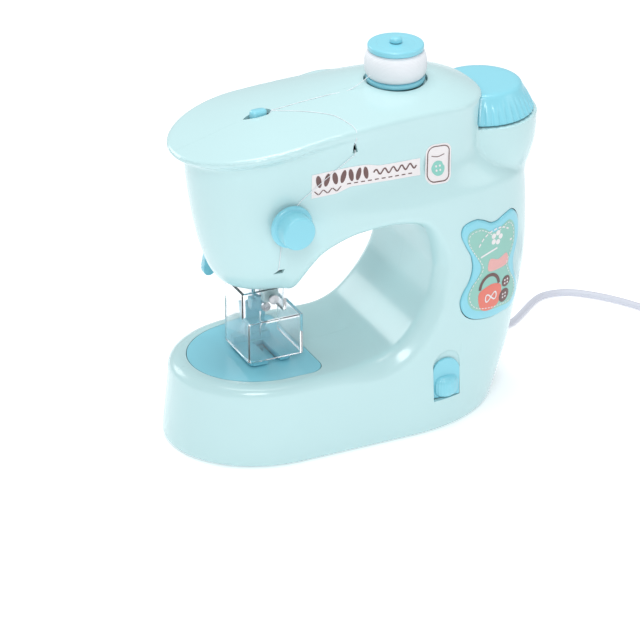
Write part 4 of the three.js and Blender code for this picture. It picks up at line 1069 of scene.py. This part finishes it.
def make_spool():
    base = spool_low[2]
    profile = [
        (2.4, 0), (13.7, 0), (14, 0.5), (14, 2.1), (5.4, 2.6), (5.4, 15.4), (12.8, 15.6), (13.4, 16.2),
        (13.4, 18), (12.9, 18.6), (9.2, 18.7), (8.9, 18.55), (8.6, 18.7), (2.4, 18.7),
    ]
    ring = rounded(profile, 0.45)
    spool = new_piece("spool_body", *revolved(ring, 128, (SPOOL_X, 0, base)), BLUE)
    settle(spool, "spool", "blue_plastic", "spool")
    swell = [
        (5.6, 2.75), (13.2, 2.75), (14.1, 3.9), (14.6, 5.4), (14.85, 7.2), (14.9, 9), (14.8, 10.8),
        (14.5, 12.6), (13.9, 14.2), (12.9, 15.3), (5.6, 15.3),
    ]
    thread = new_piece("thread_barrel", *revolved(swell, 128, (SPOOL_X, 0, base)), THREAD, 60)
    settle(thread, "spool", "thread", "spool_thread")
    top = box("spool_pin")[1][2]
    seat_top = base - 0.6
    pin = [
        (0, seat_top - 9), (4.6, seat_top - 9), (4.6, seat_top - 5.6), (2, seat_top - 5.6), (2, top - 2.8),
        (2.9, top - 2.8), (3.05, top - 2.2), (2.9, top - 1.1), (2.3, top - 0.35), (1.3, top - 0.05), (0, top),
    ]
    points, faces = revolved(rounded(pin, 0.3), 64, (SPOOL_X, 0, 0))
    settle(new_piece("pin_body", points, faces, BLUE), "machine", "blue_plastic", "spool_pin")
    seat = [
        (2.65, seat_top - 5), (14.8, seat_top - 5), (14.8, seat_top - 0.4), (13.0, seat_top - 0.4),
        (13.0, seat_top - 2.6), (5, seat_top - 2.6), (5, seat_top), (2.65, seat_top),
    ]
    points, faces = revolved(rounded(seat, 0.3), 128, (SPOOL_X, 0, 0))
    settle(new_piece("seat_cup", points, faces, MINT), "machine", "mint_shell", "spool_seat")


def make_knob():
    profile = [
        (0, 8.4), (6.8, 8.4), (6.8, 0), (KNOB_R - 0.5, 0), (KNOB_R, 0.6), (KNOB_R, 1.9),
        (KNOB_R - 0.7, 2.6), (8.65, 2.75), (8.45, 3.2), (8.2, 9.6), (7.5, 10.45), (0, 10.6),
    ]
    points, faces = revolved(rounded(profile, 0.45), 96, (KNOB_X, knob_high[1], KNOB_Z), forwards)
    settle(new_piece("knob_body", points, faces, BLUE, 50), "tension_knob", "blue_plastic", "tension_knob")


def make_guard():
    """Clear hood round the needle and its neck, with a screw hole in front."""
    x0, x1 = guard_low[0], guard_high[0]
    y0, y1 = guard_low[1], guard_high[1]
    z0, z1 = guard_low[2], 65.5
    wall = 1.5
    neck_x, neck_y = 9.6, -10.8

    def block(name, left, right, front, back, low, high, radius, edge):
        shape = rounded_rectangle(left, right, front, back, radius, 5)
        return cutter(name, *prism(shape, low, high, edge, in_plan, 4))

    guard = block("guard_hood", x0, x1, y0, y1 + 3, z0 - 3, z1, 2.2, 1.2)
    boolean(guard, "UNION", block("neck", x0 + 0.02, neck_x, neck_y, y1 + 3, z1 - 4, 80, 1.6, 0.2))
    boolean(
        guard, "DIFFERENCE",
        block("room", x0 + wall, x1 - wall, y0 + wall, y1 + 9, z0 - 6, z1 - wall, 0.9, 0.5),
        block("neck_room", x0 + wall, neck_x - wall, neck_y + wall, y1 + 9, z0, 84, 0.8, 0.2),
        cut_box("under", x0 - 5, x1 + 5, y0 - 5, y1 + 20, z0 - 10, z0),
        cut_box("behind", x0 - 5, x1 + 5, y1, y1 + 20, z0 - 10, 90),
        cut_box("above", x0 - 5, x1 + 9, y0 - 5, y1 + 20, HEAD_BOTTOM - 0.4, 90),
        rod_cutter(1.55, 8, 14, (2, 0, 72.8), forwards, 24),
    )
    refresh(guard, CLEAR, 30)
    settle(guard, "machine", "clear_plastic", "needle_guard")


def make_slide():
    """Switch slide: a plate in its slot with a fat ribbed grip."""
    back = slide_high[1]
    slide = cutter("slide_body", *prism(switch_outline(0, 0), back - 1.4, back, 0.4, in_front, 4))
    half_x, half_y, half_z = 6.8, 5.6, 5.6
    profile = [(0, -half_z)]
    for t in np.linspace(0.06, math.pi - 0.06, 25):
        rise = math.copysign(abs(math.cos(t)) ** 0.72, -math.cos(t))
        profile.append((half_x * math.sin(t) ** 0.72, half_z * rise))
    profile.append((0, half_z))

    def ribs(angle, ring):
        return 1 - 0.035 * math.sin(math.pi * ring / 24) * (0.5 - 0.5 * math.cos(26 * angle))

    points, faces = revolved(profile, 156, ripple=ribs)
    points[:, 1] *= half_y / half_x
    grip = cutter("grip", points + np.array([SWITCH_X, back, SWITCH_Z - 2.6]), faces)
    boolean(slide, "UNION", grip)
    behind = cut_box("behind_slide", SWITCH_X - 12, SWITCH_X + 12, back, back + 12, 5, 50)
    boolean(slide, "DIFFERENCE", behind)
    refresh(slide, BLUE, 40)
    settle(slide, "power_slide", "blue_plastic", "power_slide")


def draped(outline_2d, middle, proud, thickness, edge, rings=12):
    """Slab that follows the body's front. Its outline is in X and Z; proud is how far its face
    stands out of the skin and thickness how far back it reaches from there."""
    outline_2d = np.asarray(outline_2d, float)
    normal = outward(outline_2d)
    inner = outline_2d - normal * edge
    loops = [(middle + (inner - middle) * i / rings, 0.0) for i in range(1, rings + 1)]
    for i in range(1, 5):
        a = math.pi / 2 * i / 4
        loops.append((outline_2d - normal * edge * (1 - math.sin(a)), edge * (1 - math.cos(a))))
    loops.append((outline_2d, thickness))
    for i in range(rings, 0, -3):
        loops.append((middle + (outline_2d - middle) * i / (rings + 1), thickness))
    points = []
    for loop, drop in loops:
        points += on_front(loop, proud - drop)
    count = len(outline_2d)
    faces = grid_faces(len(loops), count)
    for drop, ring in ((0.0, 0), (thickness, len(loops) - 1)):
        points += on_front([middle], proud - drop)
        faces += fan_faces(len(points) - 1, ring * count, count)
    return points, faces


def draped_strip(top, bottom, proud):
    """Printed strip between two lines of the same number of points, on the body's front."""
    rows = 6
    points = []
    for i in range(rows + 1):
        points += on_front(mix(np.array(top), np.array(bottom), i / rows), proud)
    return points, grid_faces(rows + 1, len(top), ring=False)


def ribbon(line, width, proud):
    """Flat printed stroke that follows the body's front."""
    line = np.asarray(line, float)
    ahead = np.gradient(line, axis=0)
    ahead /= np.linalg.norm(ahead, axis=1)[:, None]
    side = np.stack([-ahead[:, 1], ahead[:, 0]], 1) * width / 2
    points = on_front(line - side, proud) + on_front(line + side, proud)
    return points, grid_faces(2, len(line), ring=False)


def print_piece(name, shapes, material, slot="mint_shell"):
    """One piece from several printed shapes."""
    points, faces = [], []
    for shape_points, shape_faces in shapes:
        start = len(points)
        points.extend(shape_points)
        faces.extend(tuple(i + start for i in face) for face in shape_faces)
    settle(new_piece(name, points, faces, material), "machine", slot)


def spot(x, z, radius, proud):
    edge = arc(x, z, radius, radius, 0, 2 * math.pi, 28)[:-1]
    return draped(edge, np.array([x, z]), proud, 0.12, 0.02, 3)


def button_holes(x, z, off, proud):
    return [spot(x + dx, z + dz, 0.5, proud) for dx in (-off, off) for dz in (-off, off)]


def dashes(line, dash, gap, width, proud):
    """Short strokes along a line of points, like running stitch."""
    line = np.asarray(line, float)
    steps = np.concatenate([[0], np.cumsum(np.linalg.norm(np.diff(line, axis=0), axis=1))])
    strokes = []
    start = gap / 2
    while start + dash < steps[-1]:
        at = np.linspace(start, start + dash, 4)
        stroke = np.stack([np.interp(at, steps, line[:, 0]), np.interp(at, steps, line[:, 1])], 1)
        strokes.append(ribbon(stroke, width, proud))
        start += dash + gap
    return strokes


# How far each printed layer stands out of the body's skin, in mm.
CARD, PATCH, PRINT, BUTTON, BOW, HOLE = 1.34, 1.42, 1.46, 1.5, 1.54, 1.62


def make_side_panel():
    """Raised wavy panel with a printed card: stitched border, seam, flower, needle, bag, buttons
    and a patch."""
    def on_panel(name, shapes, material):
        print_piece(name, shapes, material, "blue_plastic")

    face = panel_outline(-0.4)
    panel = new_piece("panel_body", *draped(face, PANEL_MIDDLE, 1.2, 3.4, 1.2), BLUE, 40)
    settle(panel, "machine", "blue_plastic", "side_panel")
    card = panel_outline(-5.0)
    on_panel("panel_card", [draped(card, PANEL_MIDDLE, CARD, 0.3, 0.05)], LABEL_TEAL)
    border = panel_outline(-6.3)
    border = np.vstack([border, border[:1]])
    on_panel("panel_stitches", dashes(border, 1.3, 0.8, 0.4, PATCH), PAPER)
    bag = smooth_line(
        [(98, 66), (102, 68.5), (108, 69), (113, 66), (112, 58), (106, 55.5), (99.5, 58)], 6, True)
    on_panel("panel_yarn", [draped(bag, np.array([105.5, 62]), PATCH, 0.1, 0.02, 4)], LABEL_RED)
    handle = arc(105, 67.5, 6.2, 7, 0.1, math.pi - 0.2, 23)
    buttons = ((116.4, 67), (115.4, 59.6))
    dots = [spot(*where, radius, BUTTON) for where, radius in zip(buttons, (2.9, 3.6))]
    on_panel("panel_buttons", [ribbon(handle, 1.7, PRINT)] + dots, LABEL_BROWN)
    bow = [(106 + 3.6 * math.sin(a), 62.5 + 1.9 * math.sin(2 * a))
           for a in np.linspace(0, 2 * math.pi, 40)]
    holes = [hole for where in buttons for hole in button_holes(*where, 0.9, HOLE)]
    flower = [spot(x, z, 1.35, PRINT) for x, z in arc(109, 93, 2.5, 2.5, 0, 2 * math.pi, 5)[:-1]]
    seam = smooth_line([(97.5, 91), (101, 95.4), (106, 97.6), (112, 97.6), (117, 95)], 8)
    needle = [ribbon([(99, 85.6), (108, 87.4), (119.5, 88.6)], 0.9, PRINT)]
    lines = [ribbon(bow, 0.7, BOW)] + holes + flower + dashes(seam, 1.8, 1.1, 0.8, PRINT) + needle
    on_panel("panel_lines", lines, PAPER)
    cushion = smooth_line(
        [(104, 77), (110.5, 76), (117, 77), (116, 82.5), (110.5, 81.2), (105, 82.8)], 6, True)
    on_panel("panel_patch", [draped(cushion, np.array([110.5, 79]), PATCH, 0.1, 0.02, 4)], LABEL_PINK)


ARM_LINE = [(12.5, 138.4), (30, 139.4), (46, 139.2), (62, 138.6), (78.5, 137.8)]


def arm_point(t, up):
    """A place on the arm's label: t along it from 0 to 1, up across it in mm."""
    line = np.array(ARM_LINE)
    x = np.interp(t, np.linspace(0, 1, len(line)), line[:, 0])
    z = np.interp(t, np.linspace(0, 1, len(line)), line[:, 1])
    slope = (line[-1][1] - line[0][1]) / (line[-1][0] - line[0][0])
    scale = math.hypot(1, slope)
    return (x - up * slope / scale, z + up / scale)


def make_arm_label():
    """Printed strip on the arm with a row of leaves, zigzags, a wavy seam and running stitch,
    and a card beside it."""
    proud, thickness = 0.2, 0.08
    along = np.linspace(0, 0.84, 44)
    top = [arm_point(t, mix(5.2, 3.6, smoothstep(0.38, 0.52, t))) for t in along]
    bottom = [arm_point(t, mix(-6.8, -4.8, smoothstep(0.16, 0.3, t))) for t in along]
    print_piece("arm_label", [draped_strip(top, bottom, 0.1)], PAPER)
    strokes = []
    for i in range(7):
        lean = 0.5 if i % 2 else -0.5
        start, rise = 0.05 + i * 0.058, 1.0
        leaf = [
            arm_point(start + 0.019 * math.cos(a) + 0.016 * lean * math.sin(a), rise + 3.2 * math.sin(a))
            for a in np.linspace(0, 2 * math.pi, 28, endpoint=False)
        ]
        strokes.append(draped(leaf, np.array(arm_point(start, rise)), proud, thickness, 0.02, 3))
    for i in range(6):
        middle = 0.034 + i * 0.032
        slope = 0.014 if i % 2 else -0.014
        zigzag = [arm_point(middle - slope, -5.6), arm_point(middle + slope, -3.6)]
        strokes.append(ribbon(zigzag, 0.5, proud))
    print_piece("arm_label_seam", strokes, LABEL_BROWN)
    loops = [arm_point(0.46 + 0.35 * t, 0.4 + 1.3 * math.sin(2 * math.pi * 5 * t))
             for t in np.linspace(0, 1, 120)]
    stitch = [arm_point(0.24 + 0.58 * t, -3.2) for t in np.linspace(0, 1, 24)]
    stitches = [ribbon(loops, 0.75, proud)] + dashes(stitch, 2.0, 1.5, 0.5, proud)
    print_piece("arm_label_stitches", stitches, LABEL_BROWN)
    x, z = centre = np.array([77.4, 137.6])
    tilt = -0.06

    def card(half_width, half_height, radius):
        shape = rounded_rectangle(-half_width, half_width, -half_height, half_height, radius, 6)
        return [(x + a * math.cos(tilt) - b * math.sin(tilt), z + a * math.sin(tilt) + b * math.cos(tilt))
                for a, b in shape]

    print_piece("arm_card", [draped(card(6.9, 9.6, 4.2), centre, 0.12, 0.1, 0.03, 6)], PAPER)
    outer = card(5.8, 8.5, 3.4)
    shelf = smooth_line([(x - 3.4, z + 3.9), (x, z + 3.0), (x + 3.4, z + 3.9)], 6)
    edges = [ribbon(outer + outer[:1], 0.5, 0.22), ribbon(shelf, 0.4, 0.22)]
    print_piece("arm_card_line", edges, LABEL_BROWN)
    print_piece("arm_card_button", [spot(x, z - 2.6, 3.5, 0.24)], LABEL_MINT)
    print_piece("arm_card_holes", button_holes(x, z - 2.6, 1.0, 0.36), PAPER)


# ---------- threads ----------

THREAD_R = 0.16


def over_top(x, y):
    """Height of the body's top at a place in plan."""
    z = 160.0
    for _ in range(6):
        _, share = side_field(np.array(x, float), np.array(y, float), np.array(z, float))
        z = float(top_height(np.array(x, float), share))
    return z


def front_y(x, z):
    return float(surface_y(x, z))


def make_threads():
    """Upper thread: over the top, round the take-up's eye, back to the arm's slit, out of it to
    the tension knob, and down."""
    start = (SPOOL_X - 14.6, -3.2, spool_low[2] + 6)
    to_eye = [(46, -2.8), (36, -2.4), (26, -2), (16, -1.6), (8.6, -1.2), (6.6, -0.9)]
    into_eye = over_top(5.4, 0) - 1.6
    out = [start] + [(x, y, over_top(x, y) + THREAD_R) for x, y in to_eye] + [(5.4, -0.6, into_eye)]
    back = [(6.4, -1.5), (9, -3.6), (15, -8.2), (22, -14), (28.4, -20.4)]
    slit_y = front_y(33.5, 155.4)
    rim = [
        (31, -25, 164), (32.6, -29.5, 163), (33.3, slit_y + 3, 161), (33.4, slit_y, 159),
        (33.5, slit_y, 157),
    ]
    over = smooth_line([(x, y, over_top(x, y)) for x, y in back] + rim, 3)
    over = project(over, lambda x, y, z: body_field(x, y, z) - THREAD_R, 8, 3)
    run = [(5.2, -0.9, over_top(5.2, 0) - 1.6)] + list(over) + [(33.5, slit_y + 0.8, 155.2)]
    exit_y = front_y(33.8, 152)
    down = [(33.9, exit_y + 0.8, 152.6), (33.6, exit_y - 0.25, 151.0)]
    for t in np.linspace(0.12, 0.92, 8):
        x, z = mix(33.8, 5.6, t), mix(151.2, 130.4, t)
        down.append((x, front_y(x, z) - THREAD_R - 0.28, z))
    down.append((5.0, knob_high[1] + 0.2, 129.3))
    low = [(-1.6, front_y(-1.6, 110) - 0.9, 110.4)]
    for z in np.linspace(107, 94.6, 6):
        low.append((-1.2, front_y(-1.2, z) - THREAD_R - 0.05, z))
    low.append((-1.0, front_y(-1.0, 94) + 1.2, 93.4))
    for name, line in (("thread_to_eye", out), ("thread_over_top", run), ("thread_to_knob", down),
                       ("thread_to_slit", low)):
        points, faces = swept(smooth_line(line, 5), THREAD_R, 8)
        settle(new_piece(name, points, faces, THREAD, 60), "machine", "thread")


def make_bobbin_thread():
    low, high = box("bobbin")
    side = (high[0] - low[0]) / 2 - 1.1
    radius = (high[2] - low[2]) / 2
    inner, outer = 0.35 * radius, 0.86 * radius
    profile = [(inner, -side), (outer, -side), (outer + 0.2, 0), (outer, side), (inner, side)]
    points, faces = revolved(rounded(profile, 0.3), 64, (low + high) / 2, in_side)
    settle(new_piece("bobbin_wound", points, faces, THREAD, 60), "bobbin", "thread")


make_camera()
make_stage()
dress_nodes()
make_cord()
make_shells()
make_wheel()
make_spool()
make_knob()
make_guard()
make_slide()
make_side_panel()
make_arm_label()
make_threads()
make_bobbin_thread()
softened("presser_foot", "foot_body", "presser_bar", "blue_plastic", BLUE, 0.5)
softened("take_up_nub", "nub_body", "needle_bar", "blue_plastic", BLUE, 1.0)
softened("presser_lifter", "lifter_body", "presser_lifter", "blue_plastic", BLUE, 0.6)
softened("needle_clamp", "clamp_body", "needle_bar", "blue_plastic", PALE_BLUE, 0.4)
